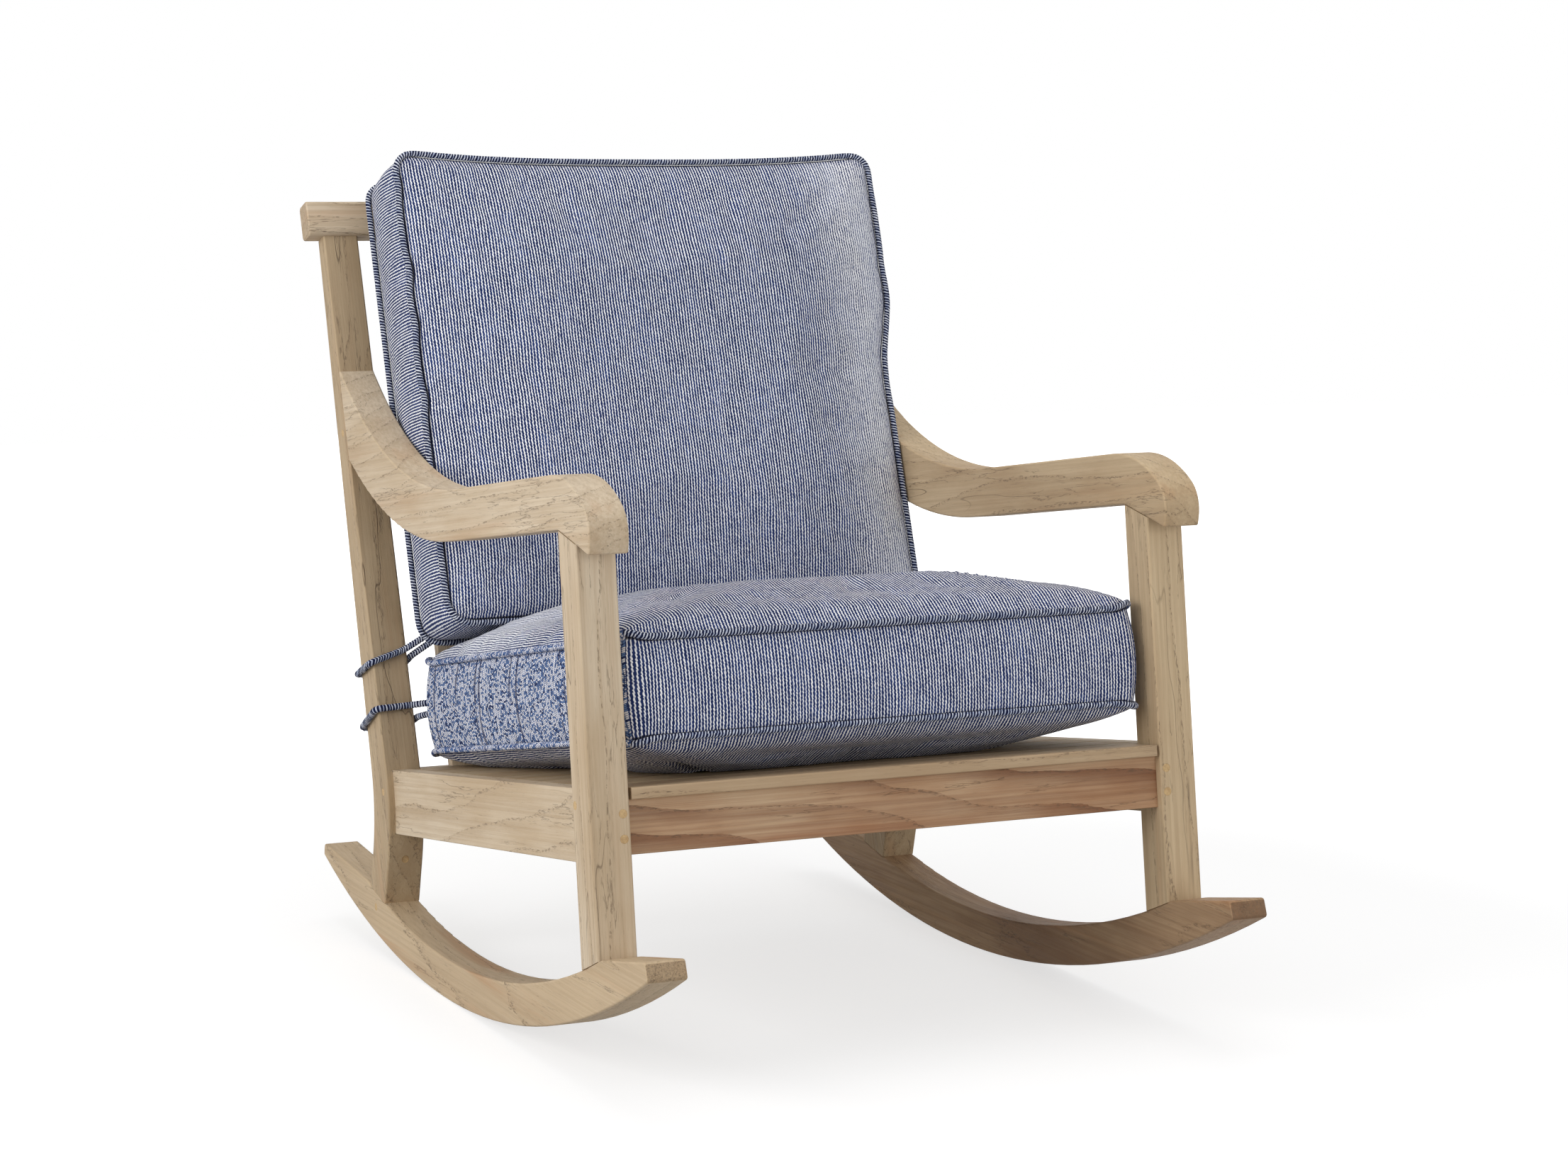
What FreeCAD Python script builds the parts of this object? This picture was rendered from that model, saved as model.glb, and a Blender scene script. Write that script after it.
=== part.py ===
import FreeCAD, Part
import math
import os
import re
from collections import namedtuple

import Sketcher

# Rocking armchair of sawn teak with a boxed seat cushion and a boxed back cushion.
#
# Every timber is drawn in the bench frame: the chair stands with its front legs upright and
# its seat level, +X towards the sitter's left hand, +Y backwards and +Z up.  Y starts at the
# front legs' front faces and Z at their front toes.  The finished chair is then rolled back on
# its runners to the attitude in which it rests, and centred over the floor.

Vector = FreeCAD.Vector
Corner = namedtuple("Corner", "y z bend arc side")

SIZES = {
    # whole chair
    "overall_width": (745, "outside face of one runner to outside face of the other"),
    "stock_width": (46, "thickness of the legs, posts, arms and runners, side to side"),
    "rest_lean": (7.4, "degrees that the front legs lean back when the chair is at rest"),
    "centre_shift": (0, "moves the chair so that it is centred front to back; set at the end"),
    "edge_round": (2.5, "rounding of the long edges of the heavy timbers"),
    "board_round": (1.5, "rounding of the edges of rails, boards and slats"),
    "glue_gap": (0.1, "room round a tenon, peg or screw in its hole"),
    "overrun": (5, "how far an outline runs on past the face where it joins or cuts"),
    # runners
    "runner_radius": (1400, "sole of a runner"),
    "hollow_radius": (1260, "top of a runner between its leg and its post"),
    "balance_point": (346, "behind the leg's front face, middle of both arcs"),
    "hollow_drop": (49, "lowest point of a runner's top, below the leg's toe"),
    "runner_depth": (48, "height of a runner under its balance point"),
    "runner_nose": (137, "reach of a runner in front of the leg"),
    "runner_nose_height": (21, "height of its blunt front end"),
    "runner_tail": (990, "end of a runner behind the leg's front face"),
    "runner_tail_height": (15, "height of its blunt rear end"),
    "tail_start": (802, "where the straight top of the tail begins"),
    "runner_end_rake": (5, "how far the top of each blunt end is drawn in"),
    "runner_tip_round": (4, "rounding of both blunt ends"),
    "runner_shoulder": (9, "hollow in front of the leg, up to where the nose runs straight"),
    "runner_blend": (70, "rounding where the hollow meets the nose and the tail"),
    # front legs
    "leg_depth": (50, "front to back"),
    "leg_top": (440, "height of a leg's front edge under the arm"),
    # arms
    "arm_underside": (457, "height of the level stretch, from below"),
    "arm_height": (60, "height of the level stretch"),
    "arm_swell_start": (384, "where the top leaves the level and sweeps up to the post"),
    "arm_swell_round": (600, "rounding of the top's sweep"),
    "arm_hollow_start": (420, "where the underside leaves the level"),
    "arm_hollow_round": (629, "rounding of the underside's sweep"),
    "arm_end": (825, "an arm is shaped this far back, then cut to the post's front"),
    "arm_brow": (14, "where the top starts to fall, as a sharp corner before rounding"),
    "arm_brow_round": (145, "rounding of the brow"),
    "arm_nose": (47, "reach of the nose in front of the leg, before rounding"),
    "arm_nose_up": (462, "height of the nose"),
    "arm_nose_round": (41, "rounding of the nose"),
    "arm_lip": (36, "reach of the lower lip in front of the leg"),
    "arm_lip_up": (427, "height of the lower lip"),
    "arm_lip_round": (3, "rounding of the lip"),
    "arm_edge_round": (2.5, "rounding of an arm's long edges"),
    "arm_tip_up": (687, "height at which an arm's thin upper end is squared off"),
    # back posts
    "post_foot_front": (733, "front of the foot on the runner"),
    "post_foot_back": (791, "back of the foot on the runner"),
    "knee_front": (688.5, "front of the knee, as a sharp corner before rounding"),
    "knee_depth": (62.5, "front to back through the sharp knee"),
    "knee_up": (121, "height of the knee"),
    "knee_round": (200, "rounding of the knee, front and back"),
    "post_lean": (11.6, "degrees that the post's front face leans back above the knee"),
    "post_length": (699, "along the front face from seat level to the crest rail"),
    "post_top_depth": (25, "front to back under the crest rail"),
    # crest rail and back slats
    "crest_height": (46, "along the lean of the back"),
    "crest_depth": (32, "front to back"),
    "crest_proud": (6, "how far it stands in front of the posts"),
    "crest_overhang": (20, "past the outer face of each post"),
    "crest_round": (6, "rounding of its edges"),
    "back_slat_count": (6, "upright slats between the posts"),
    "back_slat_width": (58, "side to side"),
    "back_slat_thickness": (14, "front to back"),
    "back_slat_setback": (7, "behind the front faces of the posts"),
    "back_slat_housing": (12, "depth of the slot for each end of a slat"),
    # seat frame
    "seat_top": (180, "height of the slatted deck above the leg's toe"),
    "side_rail_height": (80, "deck to underside"),
    "side_rail_thickness": (24, "side to side"),
    "side_rail_inset": (9, "behind the outer faces of leg and post"),
    "front_rail_setback": (10, "behind the front faces of the legs"),
    "front_rail_thickness": (24, "front to back"),
    "front_rail_bottom": (108, "height of its underside"),
    "rear_rail_front": (698, "front face of the rear rail"),
    "rear_rail_thickness": (30, "front to back"),
    "rail_tenon_thickness": (12, "tenons of all four rails"),
    "rail_tenon_shoulder": (6, "above and below a rail's tenon"),
    "front_tenon_length": (21, "of the front rail into a leg"),
    "side_tenon_length": (18, "of a side rail into a leg"),
    "rear_tenon_length": (11, "of the rear rail into a post"),
    "side_rail_end": (724, "rear end of a side rail, let whole into the post"),
    # deck
    "deck_thickness": (13, "front board and slats"),
    "front_board_depth": (82, "front to back"),
    "front_board_gap": (3, "between the front board and each leg"),
    "seat_slat_count": (8, "slats behind the front board"),
    "seat_slat_width": (70, "front to back"),
    "seat_slat_gap": (6, "slit between two slats"),
    "deck_end_gap": (1, "between a slat's end and its side rail"),
    "cleat_width": (20, "batten under the ends of the slats"),
    "cleat_height": (24, "its height"),
    "cleat_start_gap": (1, "between a leg's back face and its batten"),
    "cleat_end_gap": (3.5, "between a batten's rear end and the rear rail's front"),
    "bearer_width": (24, "middle support of the slats"),
    "bearer_height": (40, "its height"),
    "bearer_housing": (6, "its ends are let into the front and rear rails"),
    # leg, post and arm tenons
    "tenon_width": (16, "side to side, of leg and post tenons"),
    "tenon_length": (24, "past the shoulder"),
    "leg_tenon_rise": (27, "top of a leg's tenon above the arm's underside"),
    "tenon_shoulder": (11, "front and back of a leg or post tenon"),
    "foot_tenon_shoulder": (13, "front of the tenon under a post's splayed foot"),
    "crest_tenon_shoulder": (6, "front and back of a post's upper tenon"),
    "arm_tenon_length": (20, "into the post"),
    "arm_tenon_height": (70, "up the post"),
    "arm_tenon_up": (425, "start of that tenon, up the post from seat level"),
    # pegs
    "peg_radius": (4.8, "wooden pegs and plugs"),
    "front_peg_inset": (8, "from the leg's inner face"),
    "front_peg_low": (126, "height of the lower peg"),
    "front_peg_high": (153, "height of the upper peg"),
    "front_peg_length": (29.5, "front to back, through the front rail's tenon"),
    "side_peg_length": (34, "from a leg's or post's outer face inwards"),
    "side_peg_back": (8.5, "front of the leg's back face"),
    "side_peg_up": (163, "height of the peg at the leg"),
    "post_peg_setback": (9, "in front of the side rail's rear end"),
    "post_peg_up": (153, "height of the peg at the post"),
    "arm_peg_back": (14, "behind the front face of the post"),
    "arm_peg_along": (440, "up the post from seat level"),
    "foot_peg_y": (771, "peg through the runner and the post's foot"),
    "foot_peg_up": (5, "its height"),
    "foot_peg_length": (36, "from the runner's outer face inwards"),
    "foot_plug_up": (67, "height of the plug on the front of the post's foot"),
    "foot_plug_recess": (2, "how deep that plug lies in its hole"),
    "foot_plug_length": (14, "front to back"),
    # screws
    "screw_shank": (2, "radius"),
    "screw_head": (4, "radius of the pan head"),
    "screw_head_height": (2.4, "height of the pan head"),
    "slat_screw_bite": (9, "how far a slat screw reaches into the slat"),
    "rail_screw_bite": (15, "how far a cleat screw reaches into the rail"),
    "cleat_screw_count": (4, "screws along each cleat"),
    # cushions
    "cushion_gap": (0.3, "between a cushion and what it touches"),
    "cover_wall": (2.5, "cover cloth and its wadding"),
    "cushion_corner": (30, "rounding of a cushion's corners, seen from above"),
    "crown_run": (85, "from a seam inwards to where the crown is nearly full"),
    "crown_round": (240, "rounding of the crown's shoulder"),
    "piping_radius": (4, "covered cord in the seams"),
    "seat_side_gap": (12.5, "between the seat cushion's boxing and the legs' inner faces"),
    "seat_rear_gap": (13.2, "between the seat cushion and the posts' fronts at seat level"),
    "seat_boxing": (109, "height of the boxing strip"),
    "seat_crown_top": (66, "swell of the top above its seam"),
    "seat_crown_under": (48, "swell of the underside below its seam"),
    "seat_cushion_front": (20, "behind the front faces of the legs"),
    "seat_seam_up": (229, "height of the lower seam at the front"),
    "seat_cushion_tilt": (2.4, "degrees that the cushion falls towards the back"),
    "back_side_gap": (9.5, "between the back cushion's boxing and the posts' inner faces"),
    "back_cushion_above": (47, "upper edge above the posts' ends, along the lean"),
    "back_boxing": (117, "width of the boxing strip"),
    "back_crown_front": (45, "swell of the front"),
    "back_seam": (43, "rear seam in front of the posts"),
    "back_cushion_up": (154, "lower edge above seat level, along the post"),
    "zip_length": (420, "closed length"),
    "zip_width": (7, "closed teeth and their tape"),
    "zip_thickness": (1.4, "let into the boxing strip"),
    # ties
    "tie_radius": (4.5, "covered cord of the ties"),
    "tie_clearance": (0.5, "between a tie and the post it goes round"),
    "tie_wrap": (8, "centre line of a tie round an edge of the post"),
}


# ---------------------------------------------------------------- sizes and expressions

def make_sheet(document):
    """Write every size with its alias and its meaning into one spreadsheet."""
    sheet = document.addObject("Spreadsheet::Sheet", "Sizes")
    for row, (alias, (value, meaning)) in enumerate(SIZES.items(), start=1):
        sheet.set(f"A{row}", alias)
        sheet.set(f"B{row}", str(value))
        sheet.setAlias(f"B{row}", alias)
        sheet.set(f"C{row}", meaning)
    document.recompute()
    return sheet


def bound(expression):
    """Name the sheet in front of each alias, so that an object can be bound to it."""
    def name_sheet(word):
        return f"Sizes.{word.group()}" if word.group() in SIZES else word.group()
    return re.sub(r"[a-z_]+", name_sheet, str(expression))


def number(expression):
    """The present value of an expression in the sheet's sizes."""
    return float(SHEET.evalExpression(bound(expression)))


def on_hollow(y):
    """Height of a runner's hollow top at Y."""
    return f"(hollow_radius - hollow_drop - sqrt(hollow_radius^2 - ({y} - balance_point)^2))"


def on_sole(y):
    """Height of a runner's sole at Y."""
    return (f"(runner_radius - hollow_drop - runner_depth"
            f" - sqrt(runner_radius^2 - ({y} - balance_point)^2))")


BACK_Y = "(knee_front + (seat_top - knee_up) * tan(post_lean))"


def on_back(behind, up):
    """Bench Y and Z of a point given behind the posts' front plane and up along their lean."""
    return (f"({BACK_Y} + ({up}) * sin(post_lean) + ({behind}) * cos(post_lean))",
            f"(seat_top + ({up}) * cos(post_lean) - ({behind}) * sin(post_lean))")


def mirrored(side, start, width, whole="stock_width"):
    """Start of a stretch across a timber, measured from its outer face on either side."""
    return start if side == "left" else f"({whole} - ({start}) - ({width}))"


# ---------------------------------------------------------------- outlines

def at(y, z, bend="", arc="", side=1):
    """A corner of an outline: its place, its rounding, and the arc to the next corner.

    side is 1 where the arc's centre lies to the left of the way to the next corner, else -1.
    """
    return Corner(y, z, bend, arc, side)


def rectangle(y_low, z_low, y_high, z_high):
    """The four corners of an upright rectangle."""
    return [at(y_low, z_low), at(y_high, z_low), at(y_high, z_high), at(y_low, z_high)]


def leaned_rectangle(behind, up, thickness, length):
    """The four corners of a rectangle that leans with the back posts."""
    places = [(behind, up), (f"{behind} + {thickness}", up),
              (f"{behind} + {thickness}", f"{up} + {length}"), (behind, f"{up} + {length}")]
    return [at(*on_back(*place)) for place in places]


def arc_between(start, end, centre, turning):
    """An arc about a centre, its way (1 anticlockwise, -1 clockwise) and its end marks."""
    first, last = (start, end) if turning > 0 else (end, start)
    angles = [math.atan2(point.y - centre.y, point.x - centre.x) for point in (first, last)]
    circle = Part.Circle(centre, Vector(0, 0, 1), (start - centre).Length)
    marks = (1, 2) if turning > 0 else (2, 1)
    return Part.ArcOfCircle(circle, angles[0], angles[1]), marks


def arc_centre(start, end, radius, side):
    """Centre of the shorter arc of a radius from one corner to the next."""
    chord = end - start
    left = Vector(-chord.y, chord.x, 0).normalize()
    rise = math.sqrt(radius ** 2 - (chord.Length / 2) ** 2)
    return (start + end) * 0.5 + left * rise * side


def heading(here, there, centre):
    """Direction in which an edge leaves one of its ends for the other."""
    way = there - here
    if centre:
        spoke = here - centre
        tangent = Vector(-spoke.y, spoke.x, 0)
        way = tangent if tangent.dot(way) > 0 else tangent * -1
    return way.normalize()


def rounded_corner(corner, back, ahead, radius):
    """Where a rounding starts and ends, and its arc; back and ahead are its edges' headings."""
    half_turn = (math.pi - back.getAngle(ahead)) / 2
    reach = radius * math.tan(half_turn)
    centre = corner + (back + ahead).normalize() * (radius / math.cos(half_turn))
    turning = 1 if ahead.cross(back).z > 0 else -1
    start = corner + back * reach
    end = corner + ahead * reach
    arc, marks = arc_between(start, end, centre, turning)
    return start, end, arc, marks


def hold(sketch, kind, elements, expression, name):
    """Add a constraint whose value follows the sheet."""
    index = sketch.addConstraint(Sketcher.Constraint(kind, *elements, number(expression)))
    sketch.renameConstraint(index, name)
    sketch.setExpression(f"Constraints.{name}", bound(expression))


def draw_outline(sketch, corners):
    """Draw a closed outline of lines and arcs, and tie every corner and radius to the sheet."""
    places = [Vector(number(corner.y), number(corner.z), 0) for corner in corners]
    count = len(corners)
    leaving = list(places)
    arriving = list(places)
    centres = []
    for index, corner in enumerate(corners):
        following = places[(index + 1) % count]
        centre = None
        if corner.arc:
            centre = arc_centre(places[index], following, number(corner.arc), corner.side)
        centres.append(centre)

    roundings = {}
    for index, corner in enumerate(corners):
        if corner.bend:
            place = places[index]
            back = heading(place, places[index - 1], centres[index - 1])
            ahead = heading(place, places[(index + 1) % count], centres[index])
            start, end, arc, marks = rounded_corner(place, back, ahead, number(corner.bend))
            arriving[index] = start
            leaving[index] = end
            roundings[index] = (arc, marks)

    edges = []
    for index, corner in enumerate(corners):
        if index in roundings:
            arc, marks = roundings[index]
            edges.append((sketch.addGeometry(arc, False), *marks, f"round_{index}", corner.bend))
        start = leaving[index]
        end = arriving[(index + 1) % count]
        if corner.arc:
            arc, marks = arc_between(start, end, centres[index], corner.side)
            edges.append((sketch.addGeometry(arc, False), *marks, f"sweep_{index}", corner.arc))
        else:
            line = sketch.addGeometry(Part.LineSegment(start, end), False)
            edges.append((line, 1, 2, f"line_{index}", ""))

    for place, edge in enumerate(edges):
        following = edges[(place + 1) % len(edges)]
        smooth = edge[3].startswith("round") or following[3].startswith("round")
        kind = "Tangent" if smooth else "Coincident"
        ends = (edge[0], edge[2], following[0], following[1])
        sketch.addConstraint(Sketcher.Constraint(kind, *ends))
        if edge[4]:
            hold(sketch, "Radius", (edge[0],), edge[4], edge[3])

    starts = {edge[3]: (place, edge) for place, edge in enumerate(edges)}
    for index, corner in enumerate(corners):
        if index in roundings:
            place, _ = starts[f"round_{index}"]
            point = sketch.addGeometry(Part.Point(places[index]), True)
            for neighbour in (edges[place - 1], edges[(place + 1) % len(edges)]):
                sketch.addConstraint(
                    Sketcher.Constraint("PointOnObject", point, 1, neighbour[0]))
            element = (-1, 1, point, 1)
        else:
            _, edge = starts.get(f"line_{index}") or starts[f"sweep_{index}"]
            element = (-1, 1, edge[0], edge[1])
        hold(sketch, "DistanceX", element, corner.y, f"y_{index}")
        hold(sketch, "DistanceY", element, corner.z, f"z_{index}")


# ---------------------------------------------------------------- places

def rest_place(thing, across="0", y="0", z="0", tilt="0"):
    """Place an object drawn at a bench point, rolled back with the chair and by a tilt."""
    centre_up = "(runner_radius - hollow_drop - runner_depth)"
    lift = (f"runner_radius + balance_point * sin(rest_lean)"
            f" - {centre_up} * cos(rest_lean)")
    values = {
        "Placement.Base.x": across,
        "Placement.Base.y": f"centre_shift + {y} * cos(rest_lean) + {z} * sin(rest_lean)",
        "Placement.Base.z": f"{lift} - {y} * sin(rest_lean) + {z} * cos(rest_lean)",
        "Placement.Rotation.Angle": f"-(rest_lean + {tilt})",
    }
    thing.Placement = FreeCAD.Placement(Vector(), FreeCAD.Rotation(Vector(1, 0, 0), -1))
    for path, expression in values.items():
        thing.setExpression(path, bound(expression))


# ---------------------------------------------------------------- timbers

class Piece:
    """One sub-part: a PartDesign body drawn in the bench frame."""

    def __init__(self, label, across="0", y="0", z="0", tilt="0"):
        """across, y and z are the bench place of the body's own origin, tilt its lean."""
        self.body = DOCUMENT.addObject("PartDesign::Body", f"Body_{label}")
        self.body.Label = label
        self.label = label
        self.steps = 0
        rest_place(self.body, across, y, z, tilt)
        FINISHED.append(self.body)

    def origin(self, role):
        """One of the body's own planes or axes."""
        return next(item for item in self.body.Origin.OriginFeatures if item.Role == role)

    def new_sketch(self, role, offset):
        """A sketch on one of the body's own planes, moved along that plane's normal."""
        self.steps += 1
        sketch = self.body.newObject("Sketcher::SketchObject", f"{self.label}_sketch_{self.steps}")
        sketch.AttachmentSupport = [(self.origin(role), "")]
        sketch.MapMode = "FlatFace"
        sketch.setExpression("AttachmentOffset.Base.z", bound(offset))
        return sketch

    def raise_sketch(self, kind, sketch, length, reverse):
        """A pad or pocket of a sketch, as deep as an expression says."""
        before = self.body.Shape.Volume if kind == "Pocket" else 0
        feature = self.body.newObject(f"PartDesign::{kind}", f"{self.label}_{kind}_{self.steps}")
        feature.Profile = sketch
        feature.setExpression("Length", bound(length))
        feature.Reversed = reverse
        sketch.Visibility = False
        DOCUMENT.recompute()
        if kind == "Pocket":
            self.check_cut(before)
        return self

    def check_cut(self, before):
        """Stop if a hollow has taken nothing away."""
        if not self.body.Shape.Volume < before - 1e-3:
            raise RuntimeError(f"{self.label}: a hollow cuts nothing")

    def add(self, corners, start, width):
        """Material with a side outline, from start across to start plus width."""
        sketch = self.new_sketch("YZ_Plane", start)
        draw_outline(sketch, corners)
        return self.raise_sketch("Pad", sketch, width, False)

    def cut(self, corners, start, width):
        """A hollow with a side outline, from start across to start plus width."""
        sketch = self.new_sketch("YZ_Plane", start)
        draw_outline(sketch, corners)
        return self.raise_sketch("Pocket", sketch, width, True)

    def rounds(self, kind, role, start, centres, radius, length):
        """Round pads or holes that run from start towards plus X, Y or Z."""
        towards_back = role == "XZ_Plane"
        sketch = self.new_sketch(role, f"-({start})" if towards_back else start)
        draw_circles(sketch, centres, radius)
        reverse = towards_back if kind == "Pad" else not towards_back
        return self.raise_sketch(kind, sketch, length, reverse)

    def repeat(self, count, span):
        """Repeat the last hollow across the chair."""
        before = self.body.Shape.Volume
        last = self.body.Tip
        pattern = self.body.newObject("PartDesign::LinearPattern", f"{self.label}_row")
        pattern.Originals = [last]
        pattern.Direction = (self.origin("X_Axis"), [""])
        pattern.setExpression("Length", bound(span))
        pattern.setExpression("Occurrences", bound(count))
        self.body.Tip = pattern
        DOCUMENT.recompute()
        self.check_cut(before)
        return self

    def fillet(self, names, radius):
        """Round named edges of the body."""
        base = self.body.Tip
        feature = self.body.newObject("PartDesign::Fillet", f"{self.label}_fillet_{self.steps}")
        feature.Base = (base, names)
        feature.setExpression("Radius", bound(radius))
        DOCUMENT.recompute()
        return self

    def ease_sides(self, radius, chosen=lambda y, z: True):
        """Round those edges of both side faces whose middles are chosen."""
        shape = self.body.Tip.Shape
        sides = (shape.BoundBox.XMin, shape.BoundBox.XMax)
        names = []
        for index, edge in enumerate(shape.Edges, start=1):
            box = edge.BoundBox
            flat = box.XLength < 1e-3 and min(abs(box.XMin - side) for side in sides) < 1e-3
            middle = edge.valueAt((edge.FirstParameter + edge.LastParameter) / 2)
            if flat and chosen(middle.y, middle.z):
                names.append(f"Edge{index}")
        return self.fillet(names, radius)

    def ease_across(self, radius, chosen=lambda y, z: True):
        """Round those edges that run straight across the chair and are chosen."""
        names = []
        for index, edge in enumerate(self.body.Tip.Shape.Edges, start=1):
            box = edge.BoundBox
            if box.YLength < 1e-3 and box.ZLength < 1e-3 and chosen(box.YMin, box.ZMin):
                names.append(f"Edge{index}")
        return self.fillet(names, radius)

    def tube_loop(self, role, offset, width, low, high, corner, radius):
        """A closed tube round a rounded rectangle, on one of the body's planes."""
        spine = self.new_sketch(role, offset)
        half = f"({width}) / 2"
        draw_outline(spine, [at(f"-{half}", low, corner), at(half, low, corner),
                             at(half, high, corner), at(f"-{half}", high, corner)])
        section = self.new_sketch("YZ_Plane", "0")
        place = (low, offset) if role == "XY_Plane" else (f"-({offset})", low)
        draw_circles(section, [place], radius)
        pipe = self.body.newObject("PartDesign::AdditivePipe", f"{self.label}_tube")
        pipe.Profile = section
        pipe.Spine = (spine, [])
        spine.Visibility = False
        section.Visibility = False
        DOCUMENT.recompute()
        return self


def draw_circles(sketch, centres, radius):
    """Draw circles of one radius, tied to the sheet."""
    for index, (along, up) in enumerate(centres):
        middle = Vector(number(along), number(up), 0)
        circle = Part.Circle(middle, Vector(0, 0, 1), number(radius))
        drawn = sketch.addGeometry(circle, False)
        hold(sketch, "Radius", (drawn,), radius, f"circle_{index}")
        hold(sketch, "DistanceX", (-1, 1, drawn, 3), along, f"along_{index}")
        hold(sketch, "DistanceY", (-1, 1, drawn, 3), up, f"up_{index}")


OUTSIDE = {"left": "-overall_width / 2", "right": "(overall_width / 2 - stock_width)"}
INNER_HALF = "(overall_width / 2 - stock_width)"
RAIL_HALF = "(overall_width / 2 - side_rail_inset - side_rail_thickness)"
DECK_HALF = f"({RAIL_HALF} - deck_end_gap)"
DECK_UNDERSIDE = "(seat_top - deck_thickness)"
RAIL_TENON_LOW = "(front_rail_bottom + rail_tenon_shoulder)"
FRONT_TENON_TOP = f"({DECK_UNDERSIDE} - rail_tenon_shoulder)"
REAR_TENON_TOP = "(seat_top - rail_tenon_shoulder)"
REAR_TENON_Y = "(rear_rail_front + (rear_rail_thickness - rail_tenon_thickness) / 2)"
FRONT_TENON_Y = "(front_rail_setback + (front_rail_thickness - rail_tenon_thickness) / 2)"
SIDE_TENON_LOW = "(seat_top - side_rail_height + rail_tenon_shoulder)"
LEG_TENON_TOP = "(arm_underside + leg_tenon_rise)"
LEG_TENON_FOOT = f"({on_hollow('leg_depth')} - tenon_length)"
POST_TENON_FOOT = f"({on_hollow('post_foot_front')} - tenon_length)"
TENON_START = "(stock_width - tenon_width) / 2"
LEG_PEG = ("(leg_depth - side_peg_back)", "side_peg_up")
POST_PEG = ("(side_rail_end - post_peg_setback)", "post_peg_up")
ARM_PEG = on_back("arm_peg_back", "arm_peg_along")
FOOT_PEG = ("foot_peg_y", "foot_peg_up")
SLAT_SPACE = (f"((2 * {INNER_HALF} - back_slat_count * back_slat_width)"
              f" / (back_slat_count + 1))")
SLAT_SPAN = f"(back_slat_count - 1) * (back_slat_width + {SLAT_SPACE})"
MID_STOCK = "stock_width / 2"


def swept_up(y, level, start, radius):
    """Height of a stretch that leaves a level at start and sweeps upwards on an arc."""
    return f"({level} + {radius} - sqrt({radius}^2 - ({y} - {start})^2))"


def on_post_foot(z):
    """Bench Y of the front face of a back post at a height below the knee."""
    foot = on_hollow("post_foot_front")
    return (f"(post_foot_front - (({z}) - {foot})"
            f" * (post_foot_front - knee_front) / (knee_up - {foot}))")


def slack(corners_of, *bounds):
    """A hollow's outline: its tenon's outline with room all round."""
    low_y, low_z, high_y, high_z = bounds
    return corners_of(f"({low_y}) - glue_gap", f"({low_z}) - glue_gap",
                      f"({high_y}) + glue_gap", f"({high_z}) + glue_gap")


ARM_TENON = ("-overrun", "arm_tenon_up", "arm_tenon_length + overrun", "arm_tenon_height")
CREST_TENON = ("crest_tenon_shoulder", "(post_length - overrun)",
               "post_top_depth - 2 * crest_tenon_shoulder", "tenon_length + overrun")
LEG_TOP_TENON = ("tenon_shoulder", "leg_top - overrun", "leg_depth - tenon_shoulder",
                 LEG_TENON_TOP)
LEG_FOOT_TENON = ("tenon_shoulder", LEG_TENON_FOOT, "leg_depth - tenon_shoulder",
                  f"{on_hollow('0')} + overrun")
POST_FOOT_TENON = ("post_foot_front + foot_tenon_shoulder", POST_TENON_FOOT,
                   "post_foot_back - tenon_shoulder",
                   f"{on_hollow('post_foot_back')} + overrun")


def leaned_slack(behind, up, thickness, length):
    """A leaned tenon's outline with room all round."""
    return leaned_rectangle(f"({behind}) - glue_gap", f"({up}) - glue_gap",
                            f"({thickness} + 2 * glue_gap)", f"({length} + 2 * glue_gap)")


def cut_mortise(piece, corners):
    """Cut a mortise for a tenon in the middle of the stock."""
    piece.cut(corners, f"{TENON_START} - glue_gap", "tenon_width + 2 * glue_gap")


def make_runner(side):
    """A runner: an arc underneath, hollow on top, with mortises for the leg and the post."""
    piece = Piece(f"runner_{side}", OUTSIDE[side])
    nose = "(-runner_nose)"
    nose_top = f"({on_sole(nose)} + runner_nose_height)"
    tail = "(runner_tail - runner_end_rake)"
    tail_top = f"({on_sole('runner_tail')} + runner_tail_height)"
    piece.add([
        at(nose, on_sole(nose), "runner_tip_round", "runner_radius"),
        at("runner_tail", on_sole("runner_tail"), "runner_tip_round"),
        at(tail, tail_top, "runner_tip_round"),
        at("tail_start", on_hollow("tail_start"), "runner_blend", "hollow_radius", -1),
        at("-runner_shoulder", on_hollow("(-runner_shoulder)"), "runner_blend"),
        at("(runner_end_rake - runner_nose)", nose_top, "runner_tip_round"),
    ], "0", "stock_width")
    piece.ease_sides("edge_round")
    cut_mortise(piece, slack(rectangle, *LEG_FOOT_TENON))
    cut_mortise(piece, slack(rectangle, *POST_FOOT_TENON))
    drill_outer(piece, side, [FOOT_PEG], "foot_peg_length")


def drill_outer(piece, side, centres, length):
    """Holes for pegs driven in from the outer face of a leg, post, arm or runner."""
    depth = f"({length} + glue_gap)"
    piece.rounds("Pocket", "YZ_Plane", mirrored(side, "0", depth), centres,
                 "peg_radius + glue_gap", depth)


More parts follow.
